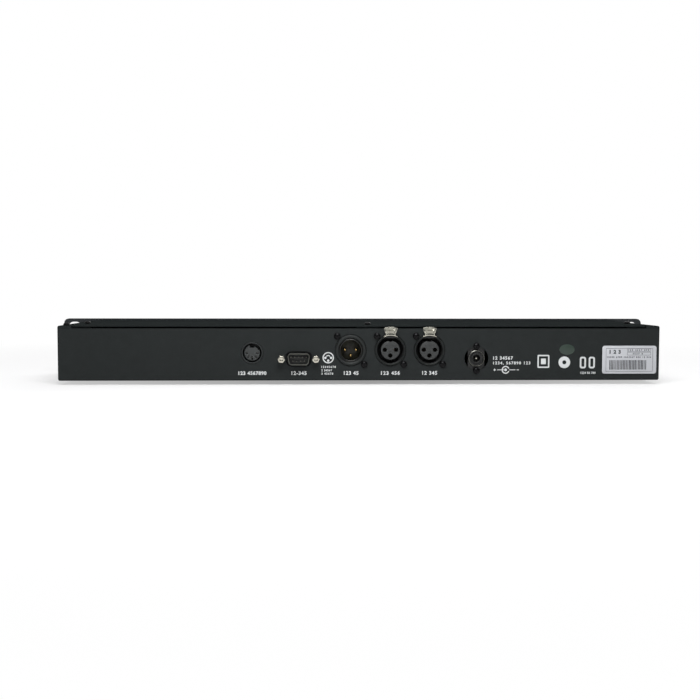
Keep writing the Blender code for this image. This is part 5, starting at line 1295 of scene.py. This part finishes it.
class RECORDER_OT_lamps(bpy.types.Operator):
    """Makes the red lamp lenses over the keys"""
    bl_idname = "recorder.lamps"
    bl_label = "Lamps"

    def execute(self, context):
        spots = [(middle(node).x / MM, MIDDLE_Z / MM + 11, 0) for node in PROGRAM_KEYS + ["key_record", "key_play"]]
        lens = lathe([(0, 0.78), (0.5, 0.73), (1, 0.56), (1.35, 0.28), (1.53, 0), (1.53, -2.5), (0, -2.5)], 40)
        piece("lamp_lenses", copies(lens, "lamp_red", spots), "lamp_red", on_side(FRONT, 0, PANEL_Y, 0))
        return {"FINISHED"}


class RECORDER_OT_panel_print(bpy.types.Operator):
    """Prints plain numbers, rules and a dial's ticks on the front panel"""
    bl_idname = "recorder.panel_print"
    bl_label = "Front print"

    def execute(self, context):
        spots = {node: (middle(node).x / MM, middle(node).z / MM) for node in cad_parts}
        meshes = []
        for node in PROGRAM_KEYS:
            x, z = spots[node]
            meshes.append(shifted(legend(node[-1], 0.6 if node[-1] == "1" else 1.2, 2), x, z + 7.4))
        for first, last in (("program_key_1", "program_key_8"), ("key_record", "key_stop")):
            (start, z), (stop, _) = spots[first], spots[last]
            meshes.append(ink(rounded((start + stop) / 2, z - 8.4, stop - start + 12, 0.35, 0.1, 1)))
        for node, shape in (("key_record", ring(0, 0, 1.1, 32)), ("key_play", [(-0.9, -1.1), (1.1, 0), (-0.9, 1.1)]),
                            ("key_stop", rounded(0, 0, 2.1, 2.1, 0.1, 1))):
            x, z = spots[node]
            meshes.append(shifted(ink(shape), x, z + 7.6))
        x, z = spots["jog_wheel"]
        for angle in range(-135, 136, 15):
            turn = math.radians(90 - angle)
            size = 1.6 if angle % 45 == 0 else 0.9
            tick = moved(ink(rounded(0, 0, size, 0.3, 0.1, 1)), Matrix.Rotation(turn, 4, "Z"))
            reach = 18 + size / 2
            if abs(reach * math.sin(turn)) < 19:
                meshes.append(shifted(tick, x + reach * math.cos(turn), z + reach * math.sin(turn)))
        meshes.append(ink(*border(*spots["lcd_window"], 72.6, 22.6, 0.3, 2, 1.7)))
        meshes.append(ink(ring(*spots["key_fog"], 8.6, 64), ring(*spots["key_fog"], 8.25, 64)))
        x, z = spots["power_rocker"]
        meshes.append(shifted(ink(rounded(0, 0, 0.5, 2.2, 0.1, 1)), x, z + 13.6))
        meshes.append(shifted(ink(ring(0, 0, 1.2, 32), ring(0, 0, 0.75, 32)), x, z - 13.6))
        place = on_side(FRONT, 0, PANEL_Y - INK_STANDOFF, 0)
        piece("front_print", gathered(*meshes), "white_ink", place)
        return {"FINISHED"}


# Stage

# The camera that was fitted to the photograph: focal length and width in pixels, place, and turns in radians
FOCAL_PIXELS, PHOTO_WIDTH, SENSOR_WIDTH = 1022, 700, 36
CAMERA_PLACE = (0.035638, 0.804302, 0.070023)
CAMERA_HEADING, CAMERA_PITCH, CAMERA_ROLL = math.pi - 0.03644, math.pi / 2 - 0.05998, 0.00169

# Name, place and aim in metres, width, height and power
LIGHTS = (
    ("key", (0.1, 1.7, 1.1), (0, 0, 0.02), 1.3, 0.9, 5.6),
    ("near", (0.02, 0.36, 0.42), (-0.01, 0.06, 0.02), 0.3, 0.2, 2.35),
    ("front", (-0.6, -1.6, 1.1), (0, 0, 0.02), 1.4, 1.0, 20),
    ("top", (0, 0, 1.8), (0, 0, 0), 2.0, 1.4, 8),
)


def make_light(name, place, aim, width, height, power):
    light = bpy.data.lights.new(name, "AREA")
    light.shape, light.size, light.size_y = "RECTANGLE", width, height
    light.energy = power
    thing = bpy.data.objects.new(name, light)
    thing.location = place
    thing.rotation_euler = (Vector(aim) - Vector(place)).to_track_quat("-Z", "Y").to_euler()
    bpy.context.scene.collection.objects.link(thing)


def make_floor():
    """A wide pale floor that keeps the shadow and looks white beyond it."""
    work = bmesh.new()
    bmesh.ops.create_grid(work, x_segments=1, y_segments=1, size=6)
    mesh = closed_up(work)
    floor = bpy.data.objects.new("floor", mesh)
    bpy.context.scene.collection.objects.link(floor)
    finish = Finish("floor_white", Roughness=0.9, Specular_IOR_Level=0.1)
    finish.set(Base_Color=finish.mix(finish.noise(3, 2), (0.86, 0.86, 0.86, 1), (0.9, 0.9, 0.9, 1)))
    glow = finish.node("ShaderNodeEmission", {}, {"Color": (1, 1, 1, 1), "Strength": 1.0})
    away = finish.node("ShaderNodeVectorMath", {"operation": "LENGTH"}, {0: finish.place})
    distance = Term(finish, away.outputs["Value"])
    share = distance.math("MINIMUM", distance * 1.1 + 0.3, 1.0) * finish.backdrop_rays()
    blend = finish.node("ShaderNodeMixShader", {}, {0: share, 1: finish.shader.outputs[0], 2: glow.outputs[0]})
    output = finish.tree.nodes["Material Output"]
    finish.tree.links.new(blend.outputs[0], output.inputs["Surface"])
    mesh.materials.append(finish.material)


def make_world():
    """White where the camera sees it and, in glossy surfaces and glass, on the backdrop's side; softer as a light."""
    world = bpy.data.worlds.new("studio")
    world.use_nodes = True
    bpy.context.scene.world = world
    sky = Nodes(world.node_tree)
    direction = sky.node("ShaderNodeSeparateXYZ", {}, {0: sky.node("ShaderNodeTexCoord").outputs["Generated"]})
    backdrop = Term(sky, direction.outputs["Y"]) < 0.1
    colour = sky.mix(sky.backdrop_rays(backdrop), (0.27, 0.27, 0.28, 1), (1, 1, 1, 1))
    sky.feed(world.node_tree.nodes["Background"].inputs["Color"], colour)


def make_camera():
    """The camera that sees the rear as the photograph does."""
    lens = bpy.data.cameras.new("camera")
    lens.sensor_width = SENSOR_WIDTH
    lens.lens = SENSOR_WIDTH * FOCAL_PIXELS / PHOTO_WIDTH
    lens.clip_start = 0.01
    camera = bpy.data.objects.new("camera", lens)
    camera.matrix_world = (
        Matrix.Translation(CAMERA_PLACE) @ Matrix.Rotation(CAMERA_HEADING, 4, "Z")
        @ Matrix.Rotation(CAMERA_PITCH, 4, "X") @ Matrix.Rotation(CAMERA_ROLL, 4, "Z"))
    bpy.context.scene.collection.objects.link(camera)
    bpy.context.scene.camera = camera


class RECORDER_OT_stage(bpy.types.Operator):
    """Makes the floor, the lights and the camera"""
    bl_idname = "recorder.stage"
    bl_label = "Stage"

    def execute(self, context):
        bpy.context.scene.view_settings.view_transform = "Standard"
        make_camera()
        make_world()
        make_floor()
        for light in LIGHTS:
            make_light(*light)
        return {"FINISHED"}


STEPS = (
    "stage", "finishes", "trees", "screws", "dmx_input", "dmx_outputs", "fog_socket", "serial_socket", "power_inlet",
    "rear_print", "labels", "keys", "wheel", "display", "lamps", "panel_print",
)


class RECORDER_PT_panel(bpy.types.Panel):
    """Lists the sizes, the colours and the steps"""
    bl_idname = "RECORDER_PT_panel"
    bl_label = "Lighting recorder"
    bl_space_type = "VIEW_3D"
    bl_region_type = "UI"
    bl_category = "Recorder"

    def draw(self, context):
        for group in (context.scene.recorder_sizes, context.scene.recorder_colours):
            column = self.layout.column()
            for name in group.__annotations__:
                column.prop(group, name)
        for step in STEPS:
            self.layout.operator("recorder." + step)


CLASSES = (
    RECORDER_PG_sizes, RECORDER_PG_colours, RECORDER_OT_stage, RECORDER_OT_finishes, RECORDER_OT_trees,
    RECORDER_OT_screws, RECORDER_OT_input, RECORDER_OT_outputs, RECORDER_OT_din, RECORDER_OT_serial,
    RECORDER_OT_inlet, RECORDER_OT_print, RECORDER_OT_label, RECORDER_OT_keys, RECORDER_OT_wheel,
    RECORDER_OT_display, RECORDER_OT_lamps, RECORDER_OT_panel_print, RECORDER_PT_panel,
)


def register():
    for kind in CLASSES:
        bpy.utils.register_class(kind)
    bpy.types.Scene.recorder_sizes = bpy.props.PointerProperty(type=RECORDER_PG_sizes)
    bpy.types.Scene.recorder_colours = bpy.props.PointerProperty(type=RECORDER_PG_colours)


def unregister():
    del bpy.types.Scene.recorder_colours
    del bpy.types.Scene.recorder_sizes
    for kind in reversed(CLASSES):
        bpy.utils.unregister_class(kind)


def main():
    register()
    for step in STEPS:
        getattr(bpy.ops.recorder, step)()


if __name__ == "__main__":
    main()
